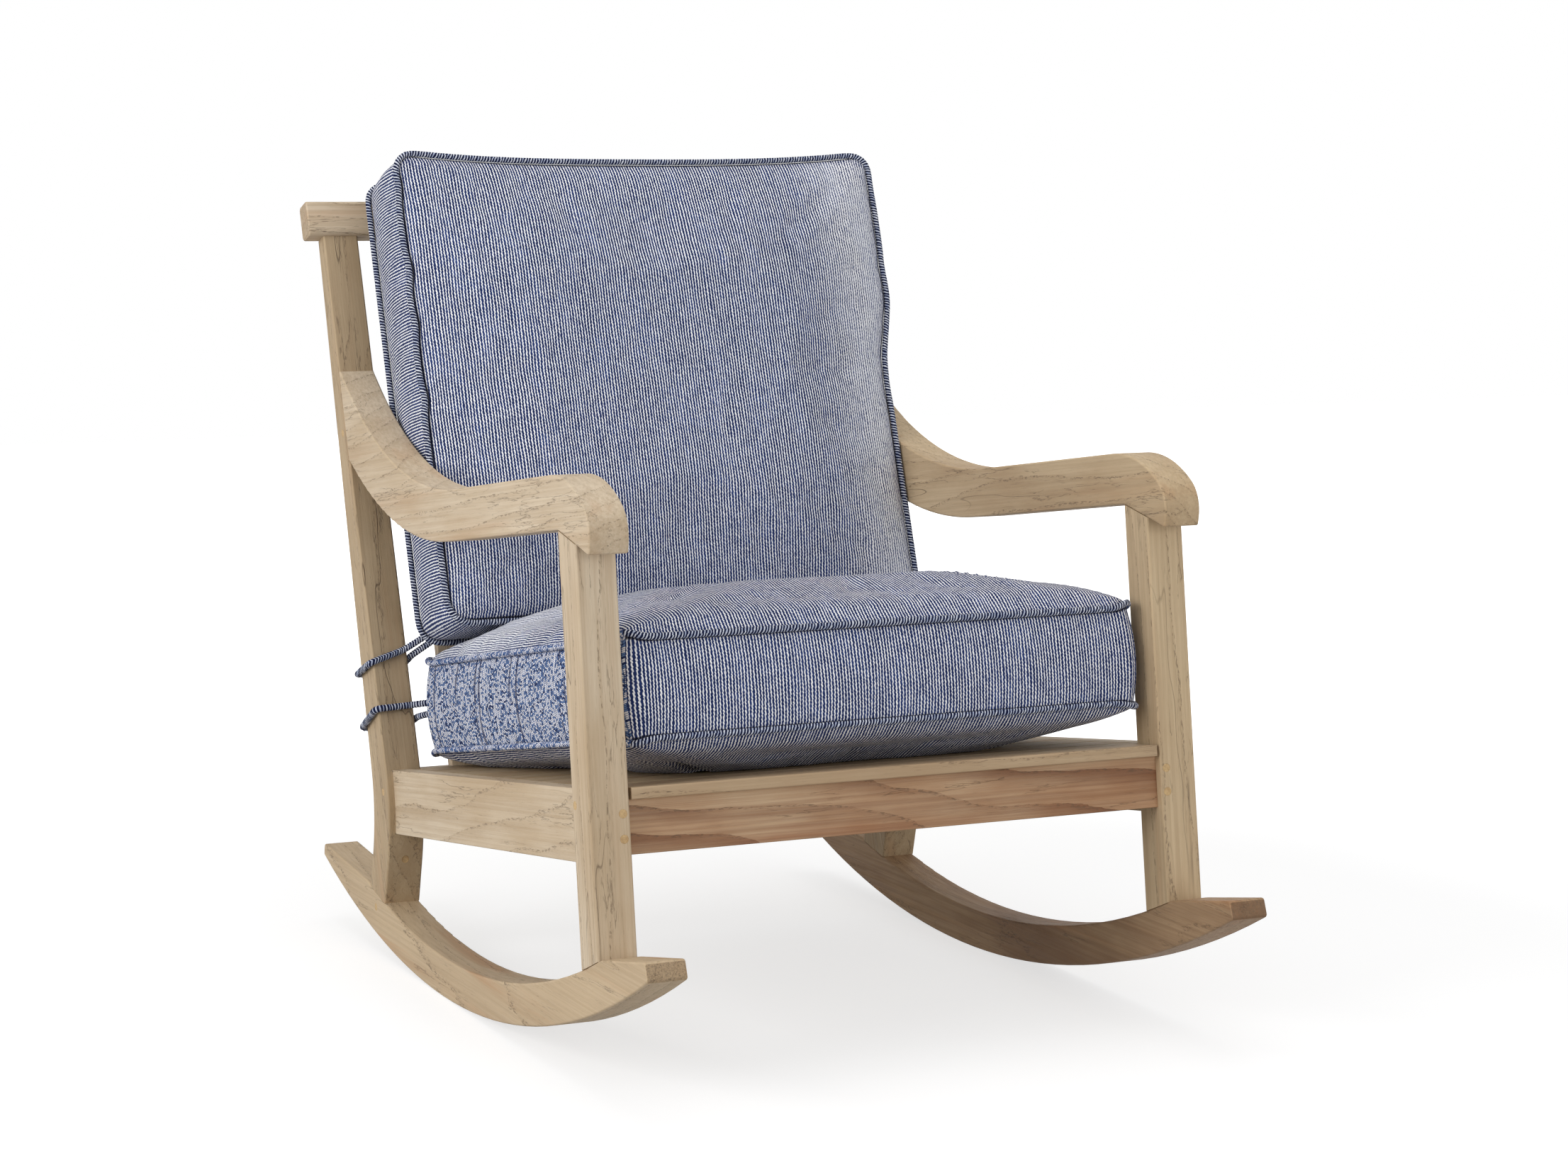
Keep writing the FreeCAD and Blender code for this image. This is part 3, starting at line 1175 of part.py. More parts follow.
def tube_along(points, wrap, radius):
    """A tube along straight runs joined by tangent arcs, with the length of its route."""
    edges = []
    start = points[0]
    for before, corner, after in zip(points, points[1:], points[2:]):
        back = (before - corner).normalize()
        ahead = (after - corner).normalize()
        half_turn = (math.pi - back.getAngle(ahead)) / 2
        shorter = min((before - corner).Length, (after - corner).Length)
        bend = min(wrap, 0.45 * shorter / math.tan(half_turn))
        reach = bend * math.tan(half_turn)
        entry = corner + back * reach
        leaving = corner + ahead * reach
        centre = corner + (back + ahead).normalize() * (bend / math.cos(half_turn))
        crown = centre + (corner - centre).normalize() * bend
        edges.append(Part.LineSegment(start, entry).toShape())
        edges.append(Part.Arc(entry, crown, leaving).toShape())
        start = leaving
        print(f"bend radius {bend:.1f}, turn {math.degrees(2 * half_turn):.0f} degrees")
    edges.append(Part.LineSegment(start, points[-1]).toShape())
    path = Part.Wire(edges)
    ring = Part.Wire(Part.makeCircle(radius, points[0], points[1] - points[0]))
    tube = path.makePipeShell([ring], True, True)
    print(f"tube volume {tube.Volume:.0f}, section times length "
          f"{math.pi * radius ** 2 * path.Length:.0f}, length {path.Length:.0f}")
    return tube


def make_tie(label, side, route, cushion, to_post_frame):
    """A tie, trimmed where it is sewn to its cushion."""
    points = tie_points(side, route)
    tube = tube_along(points, number("tie_wrap"), number("tie_radius"))
    solid = cushion.Shape.copy()
    solid.Placement = to_post_frame
    shape = tube.cut(solid)
    tie = DOCUMENT.addObject("Part::Feature", label)
    tie.Shape = shape
    finish_part(tie, label, (BACK_Y, "seat_top"), "post_lean")


# A tie's two sewn ends, each as (inwards from the post, behind its front, up from seat level),
# and the five heights up the post at which it passes round.
TieRoute = namedtuple("TieRoute", "roots heights")
UPPER_TIE = TieRoute(((28, -41, 168), (38, -43, 163)), (151, 137, 134, 138, 144))
LOWER_TIE = TieRoute(((26, -31, 78), (22, -29, 65)), (80, 78, 66, 64, 66))


def make_ties(seat, back):
    """Two ties hold the back cushion and two hold the seat cushion."""
    lean = number("post_lean")
    tilt = number("seat_cushion_tilt")
    axis = Vector(1, 0, 0)
    seat_base = Vector(0, number(SEAT_ORIGIN[0]) - number(BACK_Y),
                       number(SEAT_ORIGIN[1]) - number("seat_top"))
    seat_place = FreeCAD.Placement(FreeCAD.Rotation(axis, lean).multVec(seat_base),
                                   FreeCAD.Rotation(axis, lean - tilt))
    for side in ("left", "right"):
        make_tie(f"tie_upper_{side}", side, UPPER_TIE, back, FreeCAD.Placement())
        make_tie(f"tie_lower_{side}", side, LOWER_TIE, seat, seat_place)


# ---------------------------------------------------------------- the whole chair

def centre_chair():
    """Centre the chair, front to back, between the ends of its runners."""
    runner = next(item for item in FINISHED if item.Label == "runner_left")
    box = runner.Shape.optimalBoundingBox(False)
    SHEET.set(SHEET.getCellFromAlias("centre_shift"), f"{-(box.YMin + box.YMax) / 2:.4f}")
    DOCUMENT.recompute()


def check_document():
    """Stop at any failed object or faulty shape."""
    for item in DOCUMENT.Objects:
        if "Invalid" in item.State or "Error" in item.State:
            raise RuntimeError(f"{item.Name} ({item.Label}) is {item.State}")
    for item in FINISHED:
        if item.Shape.isNull() or not item.Shape.isValid():
            raise RuntimeError(f"{item.Label} has a faulty shape")


def write_parts():
    """Write one STEP file for each sub-part."""
    os.makedirs("parts", exist_ok=True)
    for item in FINISHED:
        item.Shape.exportStep(f"parts/{item.Label}.step")
        solids = len(item.Shape.Solids)
        print(f"{item.Label}: {solids} solid(s), {item.Shape.Volume / 1000:.1f} cm3")


DOCUMENT = FreeCAD.newDocument("rocking_armchair")
SHEET = make_sheet(DOCUMENT)
FINISHED = []

for hand in ("left", "right"):
    make_runner(hand)
    make_front_leg(hand)
    make_back_post(hand)
    make_arm(hand)
    make_side_rail(hand)
    make_cleat(hand)
make_crest_rail()
make_front_rail()
make_rear_rail()
make_back_slats()
make_deck()
make_bearer()
make_pegs()
make_screws()
seat_outer = make_seat_cushion()
back_outer = make_back_cushion()
DOCUMENT.recompute()
make_ties(seat_outer, back_outer)
DOCUMENT.recompute()
centre_chair()
check_document()
write_parts()
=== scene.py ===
"""A teak rocking armchair: its finishes, ribbed cushions, cords, floor, light and camera."""
import logging
import math
from dataclasses import dataclass, replace
from enum import Enum
from typing import Optional, Sequence, Union

import bpy
import numpy as np
from mathutils import Matrix, Vector


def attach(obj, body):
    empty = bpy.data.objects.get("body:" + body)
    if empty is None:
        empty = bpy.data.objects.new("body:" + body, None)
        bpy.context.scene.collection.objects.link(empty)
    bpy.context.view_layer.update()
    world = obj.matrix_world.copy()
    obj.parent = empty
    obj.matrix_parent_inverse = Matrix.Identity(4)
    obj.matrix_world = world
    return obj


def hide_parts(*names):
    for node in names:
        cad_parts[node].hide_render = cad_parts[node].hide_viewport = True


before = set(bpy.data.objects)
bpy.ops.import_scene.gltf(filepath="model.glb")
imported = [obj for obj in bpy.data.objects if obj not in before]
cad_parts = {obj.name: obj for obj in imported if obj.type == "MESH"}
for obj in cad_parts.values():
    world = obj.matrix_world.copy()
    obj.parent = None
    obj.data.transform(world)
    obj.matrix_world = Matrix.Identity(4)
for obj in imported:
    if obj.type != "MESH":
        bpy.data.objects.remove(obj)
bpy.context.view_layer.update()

Source = Union[float, Sequence[float], "Wire"]
Tone = tuple[int, int, int]
Triple = tuple[float, float, float]
Points = np.ndarray

LOG = logging.getLogger("rocking_chair")
BODY = "root"
REST_LEAN = math.radians(7.4)
BACK_LEAN = math.radians(19.0)
SEAT_TILT = math.radians(9.8)


def tone(red: int, green: int, blue: int) -> tuple[float, float, float, float]:
    """A colour from its usual 0 to 255 values, as the shaders want it.

    Args:
        red: the red part.
        green: the green part.
        blue: the blue part.

    Returns:
        Its linear parts and an alpha of 1.
    """
    parts = [value / 255 for value in (red, green, blue)]
    return (*(part / 12.92 if part <= 0.04045 else ((part + 0.055) / 1.055) ** 2.4
              for part in parts), 1.0)


# ---------------------------------------------------------------- finishes


class Wire:
    """A value that one node hands to others, with plain arithmetic on it."""

    def __init__(self, graph: "Graph", socket: bpy.types.NodeSocket) -> None:
        """Hold one output of a graph."""
        self.graph, self.socket = graph, socket

    def __add__(self, other: Source) -> "Wire":
        """This and the other."""
        return self.graph.math("ADD", self, other)

    def __sub__(self, other: Source) -> "Wire":
        """This less the other."""
        return self.graph.math("SUBTRACT", self, other)

    def __rsub__(self, other: Source) -> "Wire":
        """The other less this."""
        return self.graph.math("SUBTRACT", other, self)

    def __mul__(self, other: Source) -> "Wire":
        """This times the other."""
        return self.graph.math("MULTIPLY", self, other)

    def __truediv__(self, other: Source) -> "Wire":
        """This over the other."""
        return self.graph.math("DIVIDE", self, other)


class Graph:
    """A material, or the world, and the nodes that make it."""

    def __init__(self, name: str, world: bool = False) -> None:
        """Start an empty one.

        Args:
            name: the name of the material or world.
            world: whether it is the world.
        """
        self.owner = (bpy.data.worlds if world else bpy.data.materials).new(name)
        self.owner.use_nodes = True
        self.tree = self.owner.node_tree
        self.tree.nodes.clear()
        self.output = "ShaderNodeOutputWorld" if world else "ShaderNodeOutputMaterial"

    def add(self, kind: str, inputs: dict, output: Union[int, str] = 0,
            **settings: object) -> Wire:
        """Add one node.

        Args:
            kind: the node's type without its "ShaderNode" prefix.
            inputs: a number, colour or wire for each input, by name or place.
            output: which output is wanted.
            **settings: the node's own settings.

        Returns:
            The output.
        """
        node = self.tree.nodes.new("ShaderNode" + kind)
        for key, value in settings.items():
            setattr(node, key, value)
        for key, value in inputs.items():
            if isinstance(value, Wire):
                self.tree.links.new(value.socket, node.inputs[key])
            else:
                node.inputs[key].default_value = value
        return Wire(self, node.outputs[output])

    def math(self, operation: str, first: Source, second: Source = 0.0) -> Wire:
        """One step of arithmetic."""
        return self.add("Math", {0: first, 1: second}, operation=operation)

    def vector(self, operation: str, first: Source, second: Source = (0, 0, 0)) -> Wire:
        """One step of arithmetic on vectors."""
        return self.add("VectorMath", {0: first, 1: second}, int(operation == "LENGTH"),
                        operation=operation)

    def mix(self, share: Source, first: Source, second: Source) -> Wire:
        """A blend of two colours.

        Args:
            share: how much of the second shows, from 0 to 1.
            first: a wire, a tone, or a list of four linear parts.
            second: the same.

        Returns:
            The blended colour.
        """
        first, second = (tone(*side) if isinstance(side, tuple) else side
                         for side in (first, second))
        return self.add("Mix", {0: share, 6: first, 7: second}, 2, data_type="RGBA")

    def between(self, value: Source, low: float, high: float, start: float = 0.0,
                end: float = 1.0) -> Wire:
        """A smooth step of value from start at low to end at high."""
        inputs = {0: value, 1: low, 2: high, 3: start, 4: end}
        return self.add("MapRange", inputs, interpolation_type="SMOOTHSTEP")

    def mapped(self, place: Source, scale: Sequence[float] = (1, 1, 1),
               shift: Sequence[float] = (0, 0, 0), turn: Sequence[float] = (0, 0, 0)) -> Wire:
        """Coordinates stretched, turned and then moved."""
        return self.add("Mapping", {"Vector": place, "Location": shift, "Rotation": turn,
                                    "Scale": scale})

    def noise(self, place: Source, scale: Union[float, Triple], detail: float = 2.0,
              roughness: float = 0.5, shift: Triple = (0, 0, 0), output: int = 0) -> Wire:
        """Cloudy noise.

        Args:
            place: coordinates in metres.
            scale: how often it swells per metre, along all axes or along each.
            detail: how many finer layers it has.
            roughness: how strong those are.
            shift: where along the axes it starts, when it has a scale for each.
            output: 0 for one number from 0 to 1, 1 for three at once.

        Returns:
            The noise.
        """
        if isinstance(scale, tuple):
            place, scale = self.mapped(place, scale, shift), 1.0
        return self.add("TexNoise", {"Vector": place, "Scale": scale, "Detail": detail,
                                     "Roughness": roughness}, output)

    def chance(self, number: Source, other: Optional[Source] = None) -> Wire:
        """A random number for each number, or for each pair of numbers.

        Args:
            number: the number, or the first of the pair.
            other: the second of the pair, or None.

        Returns:
            From 0 to 1.
        """
        inputs = {"W": number} if other is None else {
            "Vector": self.add("CombineXYZ", {0: number, 1: other})}
        return self.add("TexWhiteNoise", inputs, "Value",
                        noise_dimensions="1D" if other is None else "2D")

    def place(self) -> Wire:
        """The piece's own coordinates, in metres."""
        return self.add("TexCoord", {}, "Object")

    def split(self, place: Wire) -> list[Wire]:
        """The three parts of a vector."""
        node = self.add("SeparateXYZ", {0: place}).socket.node
        return [Wire(self, socket) for socket in node.outputs]

    def seen(self) -> Wire:
        """Where a place is seen directly, mirrored or through glass.

        Returns:
            1 there, else 0.
        """
        camera, glossy, through = (self.add("LightPath", {}, f"Is {kind} Ray")
                                   for kind in ("Camera", "Glossy", "Transmission"))
        return self.math("MAXIMUM", self.math("MAXIMUM", camera, glossy), through)

    def close(self, surface: Wire) -> Union[bpy.types.Material, bpy.types.World]:
        """Hand the surface to the output.

        Args:
            surface: the finished shader.

        Returns:
            The material or world.
        """
        output = self.tree.nodes.new(self.output)
        self.tree.links.new(surface.socket, output.inputs["Surface"])
        return self.owner

    def finish(self, colour: Source, roughness: Source, height: Source, depth: float,
               strength: float, **fixed: float) -> bpy.types.Material:
        """Close the material with its shader.

        Args:
            colour: base colour.
            roughness: from 0, a mirror, to 1.
            height: relief from 0 to 1.
            depth: what a relief of 1 stands out by, in metres.
            strength: how strongly the relief shows.
            **fixed: further shader inputs by name, with _ for a space.

        Returns:
            The material.
        """
        relief = self.add("Bump", {"Strength": strength, "Distance": depth, "Height": height})
        inputs = {"Base Color": colour, "Roughness": roughness, "Normal": relief}
        inputs.update((key.replace("_", " "), value) for key, value in fixed.items())
        return self.close(self.add("BsdfPrincipled", inputs))

    def cloth(self, colour: Source, height: Source, depth: float) -> bpy.types.Material:
        """Close the material as a matt cloth."""
        return self.finish(colour, 0.93, height, depth, 0.7, Specular_IOR_Level=0.12,
                           Sheen_Weight=0.04, Sheen_Roughness=0.5)


class Run(Enum):
    """Which way the grain of a timber runs, as the turn that stands it upright."""

    ACROSS = (REST_LEAN, -math.pi / 2, 0.0)
    LEG = (REST_LEAN, 0.0, 0.0)
    POST = (BACK_LEAN, 0.0, 0.0)
    CREST = (BACK_LEAN, -math.pi / 2, 0.0)
    LEVEL = (REST_LEAN + math.pi / 2, 0.0, 0.0)
    RUNNER = (math.pi / 2, 0.0, 0.0)


@dataclass(frozen=True)
class Teak:
    """Weathered teak: tapering growth rings, fibres, pores, stains, drying cracks, end grain.

    The scales of its noises are swells per metre across the grain, twice, and along it.
    """

    run: Run
    seed: float
    pith: tuple[float, float] = (0.05, 0.03)
    stain: float = 0.25
    figure: float = 0.5
    checks: float = 0.5
    ring: float = 0.021
    taper: float = 0.05
    ends: float = 0.38
    end_from: float = 0.86
    pale: Tone = (218, 201, 176)
    brown: Tone = (194, 171, 140)
    red: Tone = (186, 138, 96)
    late: Tone = (164, 138, 106)
    dark: Tone = (92, 74, 56)

    def material(self, name: str) -> bpy.types.Material:
        """The finished wood for one piece.

        Args:
            name: the material's name.

        Returns:
            The material.
        """
        graph = Graph(name)
        grain = graph.mapped(graph.place(), turn=self.run.value)
        own = graph.mapped(grain, shift=(self.seed * 0.37, self.seed * 0.53, self.seed * 0.71))
        rings = self.rings(graph, grain, own)
        fibre = graph.between(graph.noise(own, (420, 420, 9), 4.0, 0.65), 0.3, 0.72)
        pores = graph.between(graph.noise(own, (1100, 1100, 60), 1.0), 0.62, 0.72)
        pores = pores * graph.between(rings, 0.55, 0.95, 0.35, 1.0)
        broken = graph.noise(own, (520, 520, 150), 2.0, 0.6)
        contour = graph.between(rings, 0.88, 0.96) * graph.between(broken, 0.50, 0.60)
        crack = self.cracks(graph, own, (13, 13, 1.5), 0.0042, 0.60 - 0.14 * self.checks, 3.0)
        wrinkle = self.cracks(graph, own, (95, 95, 8.5), 0.016, 0.59 - 0.16 * self.checks, 5.0)
        colour = self.ground(graph, own, rings, fibre)
        height = fibre * 0.22
        for mark, shade, depth in ((contour, 0.50, 0.25), (pores, 0.30, 0.30),
                                   (wrinkle, 0.52, 0.55), (crack, 0.66, 1.0)):
            colour = graph.mix(mark * shade, colour, self.dark)
            height = height - mark * depth
        rough = graph.between(fibre, 0.0, 1.0, 0.56, 0.70)
        return graph.finish(self.end_grain(graph, own, colour), rough, height, 0.0006, 0.75,
                            Specular_IOR_Level=0.32)

    def rings(self, graph: Graph, grain: Wire, own: Wire) -> Wire:
        """How far through its growth ring each place lies.

        Args:
            graph: the material.
            grain: coordinates with the grain along z.
            own: the same, shifted to this timber's own place in the noises.

        Returns:
            From 0 to 1.
        """
        sway = graph.vector("SUBTRACT", graph.noise(own, (5.5, 5.5, 2.0), 2.5, output=1),
                            (0.5, 0.5, 0.5))
        sway = graph.vector("MULTIPLY", sway, [0.10 * self.figure + 0.02] * 3)
        bent = graph.vector("ADD", grain, sway)
        radius = graph.vector("LENGTH", graph.mapped(bent, (1, 1, 0), (*self.pith, 0)))
        ragged = graph.noise(own, (150, 150, 26), 3.0, 0.6)
        radius = (radius + graph.split(bent)[2] * self.taper
                  + graph.between(ragged, 0.2, 0.8, -0.0009, 0.0009))
        return graph.math("FRACT", radius / self.ring)

    def cracks(self, graph: Graph, own: Wire, scale: Triple, width: float, level: float,
               detail: float) -> Wire:
        """Thin lines that wander along the grain.

        Args:
            graph: the material.
            own: this timber's own grain coordinates.
            scale: how often they turn across and along the grain, per metre.
            width: half their width, as a share of the noise they follow.
            level: how much of the timber stays free of them.
            detail: how finely they wander.

        Returns:
            1 in a crack and 0 beside it.
        """
        edge = graph.math("ABSOLUTE", graph.noise(own, scale, detail, 0.55) - 0.52)
        where = graph.noise(own, tuple(part * 0.6 for part in scale), shift=(3.1, 1.7, 0.4))
        return graph.between(edge, 0.0, width, 1.0, 0.0) * graph.between(where, level,
                                                                         level + 0.10)

    def ground(self, graph: Graph, own: Wire, rings: Wire, fibre: Wire) -> Wire:
        """Colour of the wood without its pores and cracks.

        Args:
            graph: the material.
            own: this timber's own grain coordinates.
            rings: the place in the growth ring.
            fibre: the fibres, from 0 to 1.

        Returns:
            The colour.
        """
        cloud = graph.noise(own, (9, 9, 3), 4.0, 0.55)
        colour = graph.mix(graph.between(cloud, 0.34, 0.70), self.pale, self.brown)
        band = graph.noise(own, (10, 10, 2.5), shift=(0.8, 0.2, 0.5))
        late = graph.between(rings, 0.30, 0.97) * graph.between(band, 0.36, 0.62, 0.15, 0.85)
        colour = graph.mix(late * (0.1 + 0.85 * self.figure ** 2), colour, self.late)
        streak = graph.noise(own, (30, 30, 1.7), 3.0, 0.6)
        colour = graph.mix(graph.between(streak, 0.52, 0.74) * (self.stain * 1.5), colour,
                           self.red)
        fine = graph.noise(own, (240, 240, 3.2), 3.0, 0.6)
        colour = graph.mix(graph.between(fine, 0.35, 0.68, 0.0, 0.36), colour, self.late)
        return graph.mix(fibre * 0.22, colour, self.brown)

    def end_grain(self, graph: Graph, own: Wire, colour: Wire) -> Wire:
        """Darken the sawn ends, with their open pores.

        Args:
            graph: the material.
            own: this timber's own grain coordinates.
            colour: the colour along the grain.

        Returns:
            The colour everywhere.
        """
        facing = graph.add("Mapping", {"Vector": graph.add("NewGeometry", {}, "Normal"),
                                       "Rotation": self.run.value}, vector_type="NORMAL")
        end = graph.between(graph.math("ABSOLUTE", graph.split(facing)[2]), self.end_from,
                            self.end_from + 0.1)
        speckle = graph.noise(own, (520, 520, 520), 3.0, 0.7)
        sawn = graph.mix(graph.between(speckle, 0.4, 0.7), self.late, self.dark)
        return graph.mix(end * self.ends, colour, sawn)


class Panel(Enum):
    """The pieces of cloth of a cushion's cover."""

    UPPER = 0
    LOWER = 1
    FRONT = 2
    SIDES = 3
    REAR = 4


@dataclass(frozen=True)
class RibbedWeave:
    """Navy cloth with raised ribs of beaded white yarn.

    Its lay attribute counts metres across the ribs, along them and from the nearest seam; its
    other attribute is painted light, which widens the white ribs and lays a pale tone over them.
    """

    pitch: float = 0.0038
    bead: float = 0.0046
    width: float = 0.160
    sway: float = 0.065
    edge: float = 0.045
    white: Tone = (252, 252, 255)
    navy: Tone = (22, 32, 74)
    blue: Tone = (68, 90, 152)
    # Pale tone laid over the cloth as painted light.
    painted_light_tone: Tone = (188, 194, 214)
    seam: Tone = (14, 17, 38)

    def material(self, name: str) -> bpy.types.Material:
        """The cloth.

        Args:
            name: the material's name.

        Returns:
            The material.
        """
        graph = Graph(name)
        lay = graph.add("Attribute", {}, "Vector", attribute_name="lay")
        # Painted light: a share from 0 to 1 that makes the cloth paler.
        painted_light = graph.add("Attribute", {}, "Fac", attribute_name="painted_light")
        across, along, edge = graph.split(lay)
        wobble = graph.between(graph.noise(lay, (40, 16, 0)), 0.2, 0.8, -0.22, 0.22)
        rib = across / self.pitch + wobble
        number = graph.math("FLOOR", rib)
        inside = graph.math("FRACT", rib) - 0.5
        uneven = graph.between(graph.noise(lay, (260, 130, 0), 1.0), 0.2, 0.8, -0.35, 0.35)
        turn = along / self.bead + graph.chance(number) * 9.0 + uneven + inside * 0.7
        step = graph.math("FLOOR", turn)
        angle = graph.math("FRACT", turn) * (2 * math.pi)
        size, hue = graph.chance(number, step), graph.chance(number + 0.5, step)
        swell = 0.5 - graph.math("COSINE", angle) * 0.5
        # Where the painted light is high the white ribs widen, so the cloth reads paler.
        reach = (graph.between(size, 0.0, 1.0, self.width - 0.035, self.width + 0.025)
                 + swell * 0.09 + painted_light * 0.12)
        aside = graph.math("ABSOLUTE", inside - graph.math("SINE", angle) * self.sway)
        yarn = graph.between(reach - aside, -self.edge, self.edge)

        pale = graph.mix(graph.between(hue, 0.0, 0.2, 0.35, 0.0), self.white, self.blue)
        pale = graph.mix(graph.between(swell, 0.0, 0.35, 0.30, 0.0), pale, self.blue)
        patch = graph.noise(lay, (26, 9, 0), 4.0, 0.65)
        share = (graph.between(patch, 0.38, 0.70, 0.40, 0.95)
                 * graph.between(hue, 0.3, 1.0, 0.30, 0.70))
        colour = graph.mix(yarn, graph.mix(share, self.navy, self.blue), pale)
        # Painted light: a pale tone laid over the cloth where its share is high.
        colour = graph.mix(painted_light * graph.between(patch, 0.3, 0.6, 0.0, 0.22), colour, self.painted_light_tone)
        colour = graph.mix(graph.between(edge, 0.0007, 0.0021, 0.9, 0.0), colour, self.seam)
        return graph.cloth(colour, yarn * 0.8 + swell * 0.2, 0.0010)


@dataclass(frozen=True)
class Heather:
    """The same yarns knitted flat: small leaning stitches of white, blue and navy in columns."""

    column: float = 0.0047
    row: float = 0.0021
    roundness: float = 2.8
    white: Tone = (242, 240, 244)
    blue: Tone = (104, 132, 180)
    navy: Tone = (28, 36, 76)

    def material(self, name: str) -> bpy.types.Material:
        """The cloth, its lay attribute read as in the ribbed weave.

        Args:
            name: the material's name.

        Returns:
            The material.
        """
        graph = Graph(name)
        lay = graph.add("Attribute", {}, "Vector", attribute_name="lay")
        across, along, _ = graph.split(lay)
        wobble = graph.between(graph.noise(lay, (50, 22, 0)), 0.2, 0.8, -0.6, 0.6)
        column = across / self.column + wobble
        number = graph.math("FLOOR", column)
        inside = graph.math("FRACT", column) - 0.5
        hand = graph.math("PINGPONG", number, 1.0) * 2.0 - 1.0
        row = along / self.row + inside * hand * 0.9 + graph.chance(number) * 0.35
        within = graph.math("FRACT", row) - 0.5
        odds = graph.chance(number, graph.math("FLOOR", row))
        far = graph.math("SQRT", inside * inside * self.roundness
                         + within * within * self.roundness)
        shown = graph.between(1.0 - far, 0.18, 0.42)
        drift = graph.noise(lay, (34, 7, 0), 3.0, 0.6)
        clump = graph.noise(lay, (105, 210, 0), 3.0, 0.7)
        level = (graph.between(drift, 0.3, 0.7, -0.10, 0.10)
                 + graph.between(clump, 0.36, 0.64, -0.06, 0.06) + odds)
        pale = graph.mix(graph.between(level, 0.38, 0.46), self.blue, self.white)
        pale = graph.mix(graph.between(level, 0.06, 0.12, 0.9, 0.0), pale, self.navy)
        gap = graph.mix(graph.between(odds, 0.2, 1.0), self.navy, self.blue)
        streak = (graph.between(graph.chance(number + 0.5), 0.90, 0.94)
                  * graph.between(drift, 0.42, 0.5) * 0.75)
        colour = graph.mix(streak, graph.mix(shown, gap, pale), self.navy)
        return graph.cloth(colour, shown, 0.0007)


@dataclass(frozen=True)
class CordCover:
    """The striped cover of a piping or tie; its lay attribute is (along, round, 0) in metres."""

    stripe: float = 0.0037
    slant: float = 0.0
    wind: float = 2.0
    girth: float = 0.0251
    white_share: float = 0.42
    white: Tone = (226, 230, 240)
    navy: Tone = (20, 28, 62)
    blue: Tone = (66, 100, 156)

    def material(self, name: str) -> bpy.types.Material:
        """Stripes that wind round the cord or meet in a point.

        Args:
            name: the material's name.

        Returns:
            The material.
        """
        graph = Graph(name)
        lay = graph.add("Attribute", {}, "Vector", attribute_name="lay")
        along, around, _ = graph.split(lay)
        share = around / self.girth
        uneven = graph.between(graph.noise(lay, (120, 40, 0)), 0.2, 0.8, -0.25, 0.25)
        turn = (along / self.stripe + graph.math("PINGPONG", share, 0.5) * (self.slant * 4)
                + share * self.wind + uneven)
        odds = graph.chance(graph.math("FLOOR", turn))
        swell = graph.math("SINE", graph.math("FRACT", turn) * math.pi)
        edge = math.cos(self.white_share * math.pi / 2)
        bead = graph.noise(lay, (900, 420, 0), 1.0)
        yarn = graph.mix(graph.between(bead, 0.45, 0.7, 0.0, 0.35), self.white, self.blue)
        yarn = graph.mix(graph.between(odds, 0.0, 0.8, 0.5, 0.0), yarn, self.blue)
        colour = graph.mix(graph.between(swell, edge - 0.08, edge + 0.12), self.navy, yarn)
        return graph.cloth(colour, swell, 0.0010)


@dataclass(frozen=True)
class Peg:
    """Golden end grain of a wooden peg."""

    light: Tone = (204, 172, 122)
    dark: Tone = (150, 112, 70)

    def material(self, name: str) -> bpy.types.Material:
        """Fine pores in a golden ground.

        Args:
            name: the material's name.

        Returns:
            The material.
        """
        graph = Graph(name)
        pores = graph.noise(graph.place(), 900.0, 3.0, 0.7)
        cloud = graph.between(graph.noise(graph.place(), 160.0), 0.35, 0.7, 0.0, 0.5)
        colour = graph.mix(cloud, self.light, self.dark)
        colour = graph.mix(graph.between(pores, 0.45, 0.7) * 0.6, colour, self.dark)
        return graph.finish(colour, graph.between(pores, 0.0, 1.0, 0.5, 0.7), pores, 0.0003, 0.5)


@dataclass(frozen=True)
class Flecked:
    """A plain stuff with flecks of a second tone, such as steel or nylon.

    Its noise is (scale, detail, roughness), its fleck the span of that noise over which the
    flecks come in and their full share, its relief (depth, strength).
    """

    ground: Tone
    second: Tone
    noise: tuple[Union[float, Triple], float, float]
    fleck: Triple
    rough: tuple[float, float]
    relief: tuple[float, float]
    metal: float = 0.0

    def material(self, name: str) -> bpy.types.Material:
        """The stuff.

        Args:
            name: the material's name.

        Returns:
            The material.
        """
        graph = Graph(name)
        noise = graph.noise(graph.place(), *self.noise)
        low, high, share = self.fleck
        colour = graph.mix(graph.between(noise, low, high, 0.0, share), self.ground, self.second)
        smooth, rough = self.rough
        finish = smooth if smooth == rough else graph.between(noise, 0.2, 0.8, smooth, rough)
        return graph.finish(colour, finish, noise, *self.relief, Metallic=self.metal)


@dataclass(frozen=True)
class Foam:
    """Pale open-cell foam inside a cushion."""

    colour: Tone = (232, 226, 206)
    cell: Tone = (196, 186, 158)

    def material(self, name: str) -> bpy.types.Material:
        """Small open cells.

        Args:
            name: the material's name.

        Returns:
            The material.
        """
        graph = Graph(name)
        cells = graph.add("TexVoronoi", {"Vector": graph.place(), "Scale": 650.0}, "Distance")
        colour = graph.mix(graph.between(cells, 0.1, 0.6, 0.0, 0.5), self.colour, self.cell)
        return graph.finish(colour, 0.95, cells, 0.0008, 0.8)


